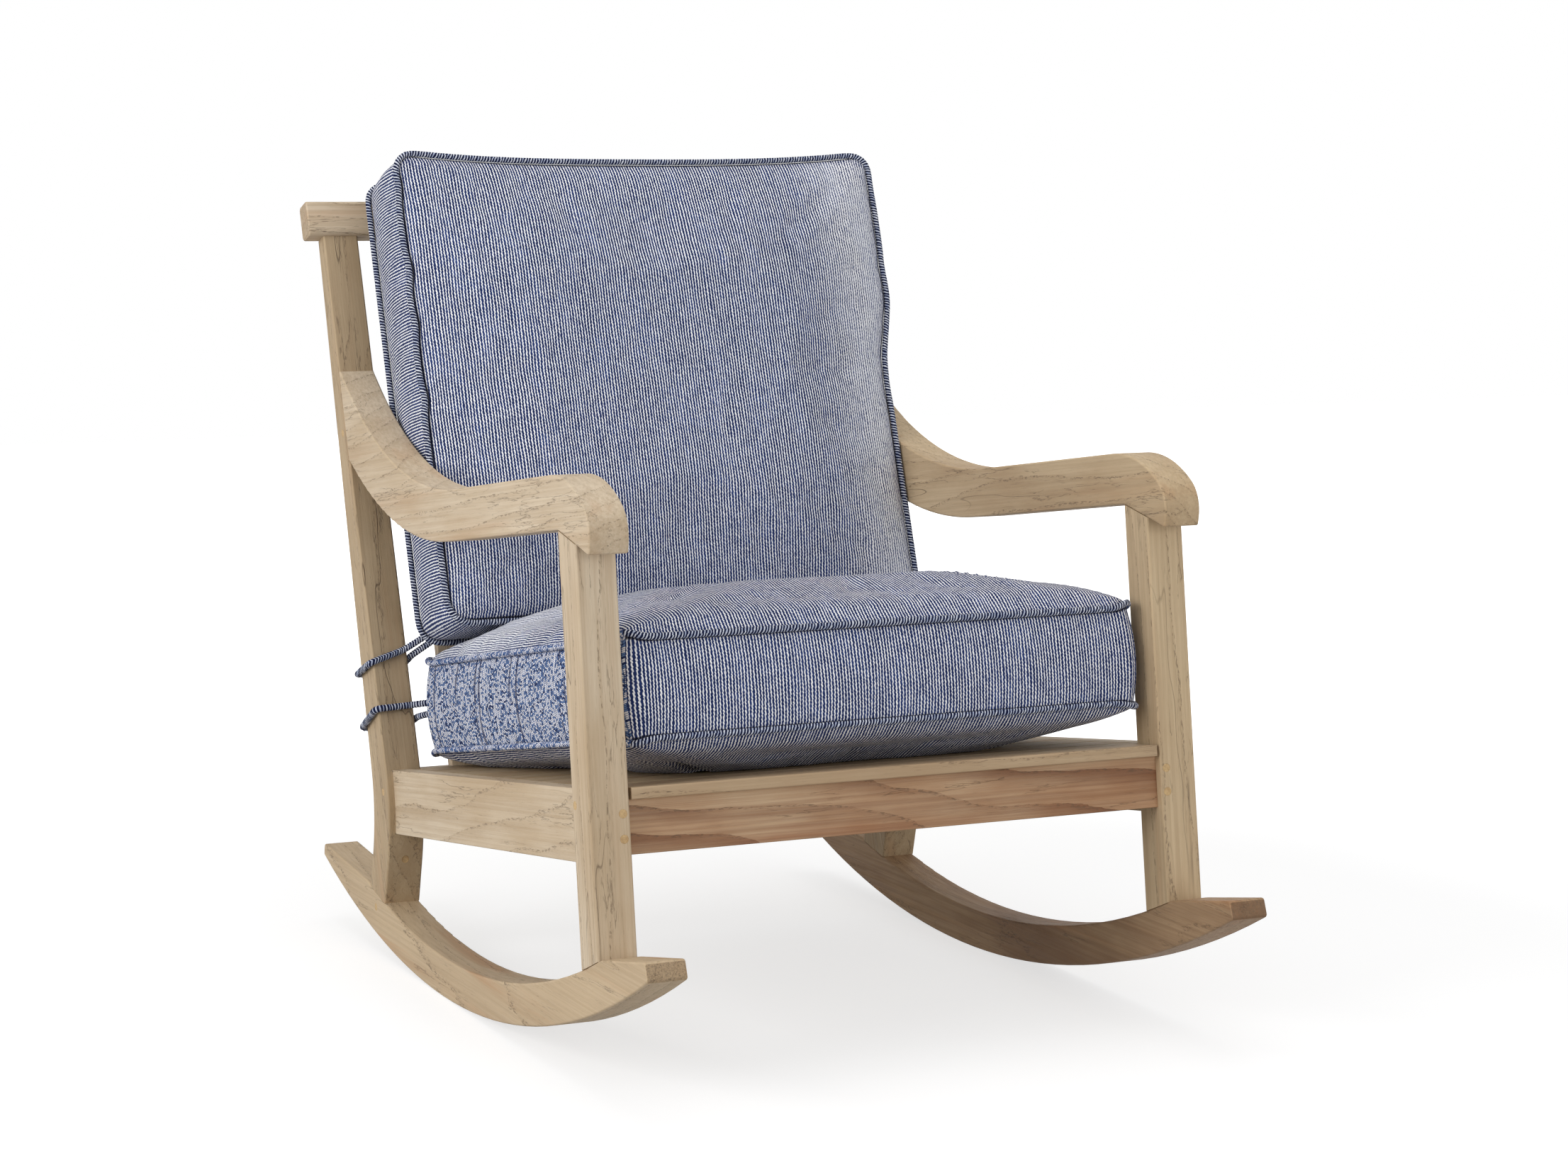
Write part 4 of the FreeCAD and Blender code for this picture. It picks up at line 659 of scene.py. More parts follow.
STEEL = Flecked((168, 170, 172), (112, 106, 98), (700.0, 3.0, 0.6), (0.4, 0.8, 0.6),
                (0.28, 0.5), (0.0001, 0.4), 1.0)
ZIP_TAPE = Flecked((36, 42, 80), (70, 78, 120), ((2600, 900, 900), 1.0, 0.5),
                   (0.35, 0.7, 0.5), (0.55, 0.55), (0.0002, 0.6))
ZIP_COIL = replace(ZIP_TAPE, ground=(44, 50, 92), second=(96, 104, 150), rough=(0.4, 0.4))


# ---------------------------------------------------------------- mesh helpers


def make_object(name: str, vertices: Points, faces: Sequence[Sequence[int]],
                smooth: bool = True) -> bpy.types.Object:
    """A new mesh object in the scene.

    Args:
        name: the piece's name.
        vertices: its points in metres.
        faces: the corners of each face.
        smooth: whether the faces shade smoothly.

    Returns:
        The object, linked to the scene.
    """
    mesh = bpy.data.meshes.new(name)
    mesh.from_pydata(np.asarray(vertices).tolist(), [], [list(map(int, face)) for face in faces])
    mesh.update()
    if smooth:
        mesh.polygons.foreach_set("use_smooth", [True] * len(mesh.polygons))
    piece = bpy.data.objects.new(name, mesh)
    bpy.context.scene.collection.objects.link(piece)
    return piece


def dress(piece: bpy.types.Object, materials: Sequence[bpy.types.Material],
          order: Optional[Sequence[int]] = None) -> None:
    """Give a piece its materials.

    Args:
        piece: the piece.
        materials: its materials.
        order: for each face, which of them it has; None gives it the first.
    """
    piece.data.materials.clear()
    for material in materials:
        piece.data.materials.append(material)
    if order is not None:
        piece.data.polygons.foreach_set("material_index", order)


def hand_in(piece: bpy.types.Object, node: str) -> None:
    """Declare and log a finished piece.

    Args:
        piece: the piece.
        node: the node that it stands for.
    """
    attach(piece, BODY)
    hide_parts(node)
    report(piece)


def report(piece: bpy.types.Object) -> None:
    """Log one finished piece."""
    LOG.info("%s: %d faces", piece.name, len(piece.data.polygons))


def points_of(mesh: bpy.types.Mesh) -> Points:
    """The places of a mesh's vertices.

    Args:
        mesh: the mesh.

    Returns:
        One row for each vertex.
    """
    flat = np.empty(len(mesh.vertices) * 3)
    mesh.vertices.foreach_get("co", flat)
    return flat.reshape(-1, 3)


def move_points(mesh: bpy.types.Mesh, points: Points) -> None:
    """Put a mesh's vertices at new places."""
    mesh.vertices.foreach_set("co", np.ascontiguousarray(points, dtype=float).ravel())
    mesh.update()


def write_lay(mesh: bpy.types.Mesh, lay: Points) -> None:
    """Store where each face corner lies on its cloth."""
    made = mesh.attributes.new("lay", "FLOAT_VECTOR", "CORNER")
    made.data.foreach_set("vector", np.ascontiguousarray(lay, dtype=np.float32).ravel())


def write_painted_light(mesh: bpy.types.Mesh, values: Points) -> None:
    """Store the share of painted light, which makes the cloth paler, at each vertex."""
    made = mesh.attributes.new("painted_light", "FLOAT", "POINT")
    made.data.foreach_set("value", np.ascontiguousarray(values, dtype=np.float32))


def smooth_step(value: Points, low: float, high: float) -> Points:
    """0 below low, 1 above high and smooth between."""
    share = np.clip((value - low) / (high - low), 0.0, 1.0)
    return share * share * (3 - 2 * share)


def unit(ways: Points) -> Points:
    """Directions made one long."""
    return ways / np.linalg.norm(ways, axis=-1, keepdims=True)


@dataclass(frozen=True)
class Place:
    """A flat frame that leans back: x across, y backwards and down, z up and back."""

    y: float
    z: float
    lean: float

    def out(self, points: Points) -> Points:
        """Points of this frame in the chair's frame.

        Args:
            points: one row for each point.

        Returns:
            The same points in the chair's frame.
        """
        x, back, rise = np.atleast_2d(points).T
        return np.stack([x, self.y + back * math.cos(self.lean) + rise * math.sin(self.lean),
                         self.z - back * math.sin(self.lean) + rise * math.cos(self.lean)],
                        axis=1)

    def into(self, points: Points) -> Points:
        """Points of the chair's frame in this frame.

        Args:
            points: one row for each point.

        Returns:
            The same points in this frame.
        """
        x, y, z = np.atleast_2d(points).T
        y, z = y - self.y, z - self.z
        return np.stack([x, y * math.cos(self.lean) - z * math.sin(self.lean),
                         y * math.sin(self.lean) + z * math.cos(self.lean)], axis=1)


LEG_FOOT = (-0.4263052, 0.1524)
DECK_LIFT = 0.18
DECK_PLACE = Place(LEG_FOOT[0] + DECK_LIFT * math.sin(REST_LEAN),
                   LEG_FOOT[1] + DECK_LIFT * math.cos(REST_LEAN), REST_LEAN)
SEAT_PLACE = Place(-0.37698, 0.37691, SEAT_TILT)
BACK_PLACE = Place(0.29165, 0.24067, BACK_LEAN)
BACK_SEAM = 0.043
BACK_BOXING = 0.117
BACK_START = 0.154
BACK_CLEARANCE = 0.0092
BACK_FLARE = 1.75


def even_steps(points: Points, step: float, closed: bool) -> Points:
    """A path cut into even steps.

    Args:
        points: its points in order.
        step: the wanted length of a step.
        closed: whether the path ends where it starts.

    Returns:
        The new points; a closed path doesn't repeat its first one.
    """
    line = np.vstack([points, points[:1]]) if closed else np.asarray(points)
    lengths = np.linalg.norm(np.diff(line, axis=0), axis=1)
    total = np.concatenate([[0.0], np.cumsum(lengths)])
    count = max(4, int(round(total[-1] / step)))
    marks = np.linspace(0.0, total[-1], count + 1)
    made = np.stack([np.interp(marks, total, line[:, axis]) for axis in range(3)], axis=1)
    return made[:-1] if closed else made


def cloth_length(grid: Points, axis: int) -> Points:
    """Lengths over a curved cloth.

    Args:
        grid: the cloth's points, in rows and columns.
        axis: the way along the grid that is measured.

    Returns:
        For each point, its length along the cloth from the middle of its row or column.
    """
    steps = np.linalg.norm(np.diff(grid, axis=axis), axis=2)
    gone = np.cumsum(steps, axis=axis)
    start = np.zeros_like(np.take(gone, [0], axis=axis))
    gone = np.concatenate([start, gone], axis=axis)
    return gone - np.take(gone, [gone.shape[axis] // 2], axis=axis)


def blurred(loop: Points, rounds: int) -> Points:
    """A closed path with its small steps evened out.

    Args:
        loop: its points in order.
        rounds: how many times it is evened.

    Returns:
        The new points.
    """
    for _ in range(rounds):
        loop = (np.roll(loop, 1, axis=0) + 2 * loop + np.roll(loop, -1, axis=0)) / 4
    return loop


@dataclass(frozen=True)
class Cord:
    """A covered cord: a tube with a slightly lobed, winding surface."""

    radius: float
    sides: int = 14
    step: float = 0.0022
    lobe: float = 0.05
    lobe_length: float = 0.0042
    first_side: Triple = (0.13, 0.29, 0.95)

    def build(self, name: str, path: Points, closed: bool) -> bpy.types.Object:
        """Build the tube along a path.

        Args:
            name: the piece's name.
            path: the middle line, in metres.
            closed: whether it is a loop.

        Returns:
            The piece, with its lay attribute written.
        """
        line = even_steps(path, self.step, closed)
        count = len(line)
        if closed:
            ahead = unit(np.roll(line, -1, axis=0) - np.roll(line, 1, axis=0))
        else:
            ahead = unit(np.gradient(line, axis=0))
        side = np.empty_like(line)
        side[0] = unit(np.cross(ahead[0], self.first_side))
        for index in range(1, count):
            last, way = side[index - 1], ahead[index]
            side[index] = unit(last - way * np.dot(last, way))
        other = np.cross(ahead, side)
        turns = np.arange(self.sides)
        angles = turns * 2 * math.pi / self.sides
        gone = np.arange(count)[:, None] * self.step
        wave = np.cos(angles + gone * 2 * math.pi / self.lobe_length)
        radii = self.radius * (1 - self.lobe + self.lobe * wave)
        ring = (side[:, None] * np.cos(angles)[:, None]
                + other[:, None] * np.sin(angles)[:, None])
        vertices = (line[:, None] + ring * radii[..., None]).reshape(-1, 3)

        rows = count if closed else count - 1
        first = np.arange(rows)[:, None] * self.sides + turns
        turned = first - turns + (turns + 1) % self.sides
        total = count * self.sides
        faces = np.stack([first, turned, (turned + self.sides) % total,
                          (first + self.sides) % total], axis=-1).reshape(-1, 4).tolist()
        lays = np.zeros((rows, self.sides, 4, 3))
        lays[..., 0] = gone[:rows, :, None] + np.array([0, 0, self.step, self.step])
        girth = 2 * math.pi * self.radius
        lays[..., 1] = girth * (turns[:, None] + np.array([0, 1, 1, 0])) / self.sides
        lays = lays.reshape(-1, 3)
        if not closed:
            for cap in (turns[::-1], total - self.sides + turns):
                faces.append(cap.tolist())
                lays = np.vstack([lays, np.zeros((self.sides, 3))])
        piece = make_object(name, vertices, faces)
        write_lay(piece.data, lays)
        return piece


# ---------------------------------------------------------------- cushions


@dataclass(frozen=True)
class Covers:
    """The cloths of a cushion."""

    panels: dict[Panel, bpy.types.Material]
    piping: bpy.types.Material
    side_piping: bpy.types.Material
    foam: bpy.types.Material
    seam_names: tuple[str, str]


@dataclass
class Cushion:
    """A boxed cushion: two crowned faces, a boxing strip between them and two piped seams.

    It is made lying flat: x across, q along its length from start, t through its thickness
    from the lower seam at 0 to the upper one at boxing.
    """

    name: str
    place: Place
    width: float
    length: float
    start: float
    boxing: float
    upper_crown: float
    lower_crown: float
    corner: float
    pressure: float = 3.0
    cap: float = 0.025
    looseness: float = 0.012
    bulge: float = 0.0055
    least_bulge: float = 0.85
    bulge_form: float = 0.7
    rib_slope: float = 0.0
    rib_bend: float = 0.0
    cell: float = 0.0085
    shoulder: float = 0.150
    roundness: float = 2.2
    slimness: float = 1.0
    frames: int = 20
    piping: float = 0.004
    piping_gap: float = 0.0004
    piping_cover: float = 0.8
    skin: float = 0.006
    cover_fill: float = 0.9

    def __post_init__(self) -> None:
        """Lay out the grid that every panel uses, and the strip between the seams."""
        across, along = (max(8, 2 * round(size / self.cell / 2))
                         for size in (self.width, self.length))
        x = np.linspace(-self.width / 2, self.width / 2, across + 1)
        q = np.linspace(self.start, self.start + self.length, along + 1)
        grid_x, grid_q = np.meshgrid(x, q, indexing="ij")
        self.middle = self.start + self.length / 2
        reach_x = (np.abs(grid_x) - (self.width / 2 - self.corner)) / self.corner
        reach_q = (np.abs(grid_q - self.middle) - (self.length / 2 - self.corner)) / self.corner
        both = (reach_x > 0) & (reach_q > 0)
        a, b = np.where(both, reach_x, 0.0), np.where(both, reach_q, 0.0)
        round_x, round_q = a * np.sqrt(1 - b * b / 2), b * np.sqrt(1 - a * a / 2)
        self.grid_x = grid_x + np.sign(grid_x) * (round_x - a) * self.corner
        self.grid_q = grid_q + np.sign(grid_q - self.middle) * (round_q - b) * self.corner
        self.inward = np.minimum(self.width / 2 - np.abs(grid_x),
                                 self.length / 2 - np.abs(grid_q - self.middle))
        numbers = np.arange((across + 1) * (along + 1)).reshape(across + 1, along + 1)
        self.numbers = numbers
        self.quads = np.stack([numbers[:-1, :-1], numbers[1:, :-1], numbers[1:, 1:],
                               numbers[:-1, 1:]], axis=-1).reshape(-1, 4)
        self.rim = np.concatenate([numbers[:-1, 0], numbers[-1, :-1], numbers[:0:-1, -1],
                                   numbers[0, :0:-1]])
        self.rows = max(4, round(self.boxing / self.cell))
        self.levels = np.linspace(self.boxing, 0.0, self.rows + 1)
        count, size = len(self.rim), numbers.size
        self.ring = [self.rim] + [2 * size + row * count + np.arange(count)
                                  for row in range(self.rows - 1)] + [self.rim + size]

    def rise(self) -> Points:
        """The crown's form.

        Returns:
            Share of the full crown at each point of the grid.
        """
        share = 1.0
        for inward in (self.width / 2 - np.abs(self.grid_x),
                       self.length / 2 - np.abs(self.grid_q - self.middle)):
            part = np.clip(1 - inward / self.shoulder, 0.0, 1.0)
            share = share * np.sqrt(np.clip(1 - part ** self.roundness, 0.0, 1.0))
        return share.ravel() ** self.slimness

    def base(self) -> tuple[Points, list, list]:
        """The cushion before it is filled.

        Returns:
            Its points as (x, q, t), its faces and each face's panel.
        """
        rise = self.rise()
        x, q = self.grid_x.ravel(), self.grid_q.ravel()
        upper = np.stack([x, q, self.boxing + self.upper_crown * rise], axis=1)
        lower = np.stack([x, q, -self.lower_crown * rise], axis=1)
        outline = np.stack([x, q], axis=1)[self.rim]
        strip = [np.column_stack([outline, np.full(len(outline), level)])
                 for level in self.levels[1:-1]]
        faces = self.quads.tolist() + (self.quads[:, ::-1] + len(x)).tolist()
        panels = [Panel.UPPER.value] * len(self.quads) + [Panel.LOWER.value] * len(self.quads)
        heading = unit(np.roll(outline, -1, axis=0) - outline)
        ends = np.where(heading[:, 0] > 0, Panel.FRONT.value, Panel.REAR.value)
        panel = np.where(np.abs(heading[:, 1]) > 0.7, Panel.SIDES.value, ends)
        for upper_row, lower_row in zip(self.ring, self.ring[1:]):
            faces += np.stack([upper_row, lower_row, np.roll(lower_row, -1),
                               np.roll(upper_row, -1)], axis=1).tolist()
            panels += panel.tolist()
        return np.vstack([upper, lower, *strip]), faces, panels

    def lay(self, points: Points) -> Points:
        """Where each face corner lies on its cloth.

        Args:
            points: the finished form, as (x, q, t).

        Returns:
            For each corner, the metres across the ribs, along them and from the seam.
        """
        size = self.numbers.size
        lays = []
        for first, quads in ((0, self.quads), (size, self.quads[:, ::-1])):
            grid = points[first:first + size].reshape(*self.numbers.shape, 3)
            cloth = [cloth_length(grid, axis).ravel() for axis in (0, 1)]
            lays.append(np.stack([*cloth, self.inward.ravel()], axis=1)[quads].reshape(-1, 3))
        outline = points[self.rim][:, :2]
        steps = np.linalg.norm(np.roll(outline, -1, axis=0) - outline, axis=1)
        gone = np.concatenate([[0.0], np.cumsum(steps)])
        around = np.stack([gone[:-1], gone[:-1], gone[1:], gone[1:]], axis=1)
        hidden = self.piping * self.piping_cover
        for high, low in zip(self.levels, self.levels[1:]):
            height = np.array([high, low, low, high]) + np.zeros_like(around)
            slope = self.rib_slope + self.rib_bend * height / self.boxing
            edge = np.minimum(height, self.boxing - height) - hidden
            lays.append(np.stack([around + height * slope, height, edge],
                                 axis=-1).reshape(-1, 3))
        return np.vstack(lays)

    def fill(self, piece: bpy.types.Object, seam: Points) -> None:
        """Swell the cover with cloth simulation, its seams held.

        Args:
            piece: the cushion's object.
            seam: the numbers of the vertices in the seams.
        """
        before = points_of(piece.data)
        held = piece.vertex_groups.new(name="seams")
        held.add([int(number) for number in seam], 1.0, "REPLACE")
        cloth = piece.modifiers.new("fill", "CLOTH")
        for key, value in {"quality": 6, "mass": 0.3, "tension_stiffness": 20,
                           "compression_stiffness": 20, "shear_stiffness": 8,
                           "bending_stiffness": 0.6, "use_pressure": True,
                           "uniform_pressure_force": self.pressure,
                           "vertex_group_mass": "seams", "pin_stiffness": 1.0,
                           "shrink_min": -self.looseness}.items():
            setattr(cloth.settings, key, value)
        cloth.settings.effector_weights.gravity = 0.0
        cloth.point_cache.frame_start = 1
        cloth.point_cache.frame_end = self.frames
        scene = bpy.context.scene
        for number in range(1, self.frames + 1):
            scene.frame_set(number)
        swollen = piece.evaluated_get(bpy.context.evaluated_depsgraph_get())
        moved = points_of(swollen.to_mesh()) - before
        swollen.to_mesh_clear()
        piece.modifiers.remove(cloth)
        piece.vertex_groups.clear()
        scene.frame_set(1)
        length = np.linalg.norm(moved, axis=1, keepdims=True)
        move_points(piece.data, before + moved * np.minimum(
            1.0, self.cap / np.maximum(length, 1e-9)))

    def settle(self, points: Points, before: Points) -> Points:
        """Bring the crowns and the boxing's bulge to size, then give the form its own shape.

        Args:
            points: the filled form, as (x, q, t).
            before: the same points before it was filled.

        Returns:
            The finished form.
        """
        settled = np.array(points)
        outward = self.outward(before[self.rim])
        for row, numbers in enumerate(self.ring[1:-1], 1):
            swell = np.sum((settled[numbers] - before[numbers]) * outward, axis=1)
            full = self.bulge * math.sin(math.pi * row / self.rows) ** self.bulge_form
            wanted = np.clip(swell, self.least_bulge * full, full)
            settled[numbers] = before[numbers] + outward * wanted[:, None]
        strip = 2 * self.numbers.size
        for sign, level, crown in ((1, self.boxing, self.upper_crown),
                                   (-1, 0.0, self.lower_crown)):
            over = np.maximum(sign * (settled[:, 2] - level), sign * (before[:, 2] - level))
            over[strip:] = np.minimum(over[strip:], 0.0)
            settled[:, 2] = np.where(over > 0, level + sign * over * crown / over.max(),
                                     settled[:, 2])
        return self.shape(settled)

    def outward(self, seam: Points) -> Points:
        """The way out of the cushion at each point of a seam.

        Args:
            seam: its points as (x, q, t).

        Returns:
            A direction for each point.
        """
        tangent = np.roll(seam, -1, axis=0) - np.roll(seam, 1, axis=0)
        return unit(np.stack([tangent[:, 1], -tangent[:, 0], np.zeros(len(seam))], axis=1))

    def shape(self, points: Points) -> Points:
        """What its neighbours and its makers do to the filled form; points are (x, q, t)."""
        return points

    def painted_light(self, points: Points) -> Points:
        """The share of painted light, which makes the cloth paler, at each point (x, q, t); none
        here.
        """
        return np.zeros(len(points))

    def stand(self, points: Points) -> Points:
        """Points (x, q, t) in the chair's frame."""
        return self.place.out(points)

    def build(self, covers: Covers) -> None:
        """Make the cover, its two pipings and its core.

        Args:
            covers: the cushion's cloths.
        """
        points, faces, panels = self.base()
        piece = make_object(f"{self.name}_cover", points, faces)
        seams = (self.ring[0], self.ring[-1])
        before = points_of(piece.data)
        self.fill(piece, np.concatenate(seams))
        self.settled = self.settle(points_of(piece.data), before)
        move_points(piece.data, self.stand(self.settled))
        dress(piece, [covers.panels[panel] for panel in Panel], panels)
        write_lay(piece.data, self.lay(self.settled))
        # The share of painted light that makes the cloth paler.
        write_painted_light(piece.data, self.painted_light(self.settled))
        hand_in(piece, f"{self.name}_cover")
        short = self.name.split("_")[0]
        for seam, word in zip(seams, covers.seam_names):
            self.pipe(self.settled[seam], f"{short}_piping_{word}", covers)
        self.core(piece, covers.foam)

    def pipe(self, seam: Points, name: str, covers: Covers) -> None:
        """Sew the piping to one seam.

        Args:
            seam: the seam's points as (x, q, t).
            name: the piping's name.
            covers: the cushion's cloths.
        """
        path = blurred(seam + self.outward(seam) * (self.piping + self.piping_gap), 2)
        piece = Cord(self.piping).build(name, self.stand(path), True)
        line = even_steps(path, Cord.step, True)
        ahead = np.abs(np.roll(line, -1, axis=0) - line)
        side = np.repeat(ahead[:, 1] > ahead[:, 0], Cord.sides)
        dress(piece, [covers.piping, covers.side_piping], side.astype(int))
        hand_in(piece, name)

    def core(self, cover: bpy.types.Object, foam: bpy.types.Material) -> None:
        """Put the foam core a little inside the cover.

        Args:
            cover: the finished cover.
            foam: the foam.
        """
        name = f"{self.name}_core"
        mesh = cover.data.copy()
        mesh.name = name
        piece = bpy.data.objects.new(name, mesh)
        bpy.context.scene.collection.objects.link(piece)
        normals = np.empty(len(mesh.vertices) * 3)
        mesh.vertices.foreach_get("normal", normals)
        move_points(mesh, points_of(mesh) - normals.reshape(-1, 3) * self.skin)
        dress(piece, [foam])
        hand_in(piece, name)


@dataclass
class SeatCushion(Cushion):
    """The seat cushion, pressed flat on the deck and dented by the back cushion."""

    deck_gap: float = 0.0006
    press: float = 0.024
    # Spans over which the painted light comes in: height as a share of the boxing, then place
    # along the cushion.
    painted_light_level: tuple[float, float] = (0.9, 1.15)
    painted_light_over: tuple[float, float] = (0.24, 0.50)

    def shape(self, points: Points) -> Points:
        """Rest on the deck and give way under the back cushion.

        Args:
            points: the filled form, as (x, q, t).

        Returns:
            The pressed form.
        """
        back = BACK_PLACE.into(self.place.out(points))
        limit = BackCushion.underside(back[:, 1])
        near = np.maximum(self.press - np.abs(back[:, 2] - limit), 0.0)
        soft = np.minimum(back[:, 2], limit) - near ** 2 / (4 * self.press)
        back[:, 2] = np.where(points[:, 2] > self.piping, soft, back[:, 2])
        bench = DECK_PLACE.into(BACK_PLACE.out(back))
        bench[:, 2] = np.maximum(bench[:, 2], self.deck_gap)
        return self.place.into(DECK_PLACE.out(bench))

    def painted_light(self, points: Points) -> Points:
        """Painted light: paler towards the rear of the top."""
        top = smooth_step(points[:, 2] / self.boxing, *self.painted_light_level)
        return top * smooth_step(points[:, 1], *self.painted_light_over)


@dataclass
class BackCushion(Cushion):
    """The back cushion, leaning on the slats; its upper face is its front.

    Each pinch is (height, share of the full depth).
    """

    seam: float = BACK_SEAM
    rest: float = 0.0066
    ears: float = 0.013
    ears_over: tuple[float, float] = (0.72, 1.0)
    spread: float = 0.018
    spread_over: tuple[float, float] = (0.46, 0.56)
    spread_side: tuple[float, float] = (0.2, 1.0)
    pinch: float = 0.0045
    pinch_reach: float = 0.016
    pinch_from: float = 0.25
    pinch_fade: float = 0.018
    pinch_slant: float = 0.15
    pinch_side: tuple[float, float] = (0.90, 1.0)
    right_pinch: float = 0.35
    pinches: tuple[tuple[float, float], ...] = ((0.71, 0.7), (0.60, 1.0), (0.53, 0.7),
                                                (0.435, 0.9))
    # Spans over which the painted light comes in: height as a share of the boxing, then place
    # across the cushion.
    painted_light_level: tuple[float, float] = (0.95, 1.1)
    painted_light_over: tuple[float, float] = (0.20, 0.31)

    @staticmethod
    def underside(behind: Points) -> Points:
        """Highest place of the seat cushion under the back cushion.

        Args:
            behind: depths in the back cushion's frame.

        Returns:
            The highest place at each depth.
        """
        forward = np.maximum(-(BACK_SEAM + BACK_BOXING) - behind, 0.0)
        return BACK_START - BACK_CLEARANCE + forward * BACK_FLARE

    def stand(self, points: Points) -> Points:
        """Turn the flat form up: its thickness runs forwards."""
        turned = np.stack([points[:, 0], -self.seam - points[:, 2], points[:, 1]], axis=1)
        return self.place.out(turned)

    def shape(self, points: Points) -> Points:
        """Flatten the rear on the slats, lift the upper corners, spread and pinch the sides.

        Args:
            points: the filled form, as (x, q, t).

        Returns:
            The finished form.
        """
        x, q, t = points.T.copy()
        t = np.maximum(t, -self.rest)
        across = x / (self.width / 2)
        q += self.ears * (np.abs(across) ** 3 - 0.5) * smooth_step(
            (q - self.start) / self.length, *self.ears_over)
        x += (self.spread * smooth_step(q, *self.spread_over)
              * smooth_step(across, *self.spread_side))
        front = smooth_step(t, self.pinch_from * self.boxing, self.boxing)
        front *= 1 - smooth_step(t, self.boxing, self.boxing + self.pinch_fade)
        side = smooth_step(np.abs(across), *self.pinch_side)
        side *= np.where(across > 0, self.right_pinch, 1.0)
        slant = self.pinch_slant * (self.boxing - t)
        for height, depth in self.pinches:
            near = np.exp(-((q - height - slant) / self.pinch_reach) ** 2)
            x -= np.sign(across) * self.pinch * depth * near * front * side
        return np.stack([x, q, t], axis=1)

    def painted_light(self, points: Points) -> Points:
        """Painted light: paler towards the side of the front that turns away from the light."""
        face = smooth_step(points[:, 2] / self.boxing, *self.painted_light_level)
        return face * smooth_step(points[:, 0], *self.painted_light_over)


# ---------------------------------------------------------------- ties and zips


@dataclass(frozen=True)
class TieRoute:
    """A tie round a post: its sewn ends and the heights at which it passes the post.

    The post is thick at zero_height below the back cushion's frame and tapers upwards.
    """

    name: str
    roots: tuple[Triple, Triple]
    heights: tuple[float, float, float, float, float]
    radius: float = 0.0045
    lobe: float = 0.08
    inner: float = 0.3265
    outer: float = 0.3725
    clearance: float = 0.0005
    thick: float = 0.0612
    taper: float = 0.04852
    zero_height: float = 0.0477
    turn: float = 0.008
    turn_share: float = 0.45
    turn_steps: int = 7

    def depth(self, up: float) -> float:
        """Front-to-back depth of the post at a height up its front."""
        return self.thick - self.taper * (up + self.zero_height)

    def points(self, sign: int) -> Points:
        """The route's corners.

        Args:
            sign: -1 for the left side of the chair, 1 for the right.

        Returns:
            The corners in the chair's frame.
        """
        stand = self.radius + self.clearance
        front, outer_front, outer_back, inner_back, inner_front = self.heights
        inside = self.inner - stand
        outside = self.outer + stand
        first, last = self.roots
        route = [
            (self.inner - first[0], first[1], first[2]),
            (self.inner + stand, -stand, front),
            (outside, -stand, outer_front),
            (outside, self.depth(outer_back) + stand, outer_back),
            (inside, self.depth(inner_back) + stand, inner_back),
            (inside, 0.0, inner_front),
            (self.inner - last[0], last[1], last[2]),
        ]
        return BACK_PLACE.out(np.array([(sign * x, y, z) for x, y, z in route]))

    def rounded(self, corners: Points) -> Points:
        """The route with its corners rounded.

        Args:
            corners: its corners.

        Returns:
            The points of the rounded route.
        """
        line = [corners[0]]
        for before, corner, after in zip(corners, corners[1:], corners[2:]):
            back, ahead = before - corner, after - corner
            reach = min(self.turn, self.turn_share * np.linalg.norm(back),
                        self.turn_share * np.linalg.norm(ahead))
            entry, leaving = corner + unit(back) * reach, corner + unit(ahead) * reach
            for share in np.linspace(0.0, 1.0, self.turn_steps):
                line.append((1 - share) ** 2 * entry + 2 * share * (1 - share) * corner
                            + share ** 2 * leaving)
        return np.array([*line, corners[-1]])

    def build(self, cover: bpy.types.Material) -> None:
        """Make the tie on both sides.

        Args:
            cover: its cloth.
        """
        for hand, sign in (("left", -1), ("right", 1)):
            name = f"{self.name}_{hand}"
            cord = Cord(self.radius, lobe=self.lobe)
            piece = cord.build(name, self.rounded(self.points(sign)), False)
            dress(piece, [cover])
            hand_in(piece, name)


BLOCK_FACES = ((0, 1, 3, 2), (4, 6, 7, 5), (0, 4, 5, 1), (2, 3, 7, 6), (0, 2, 6, 4),
               (1, 5, 7, 3))


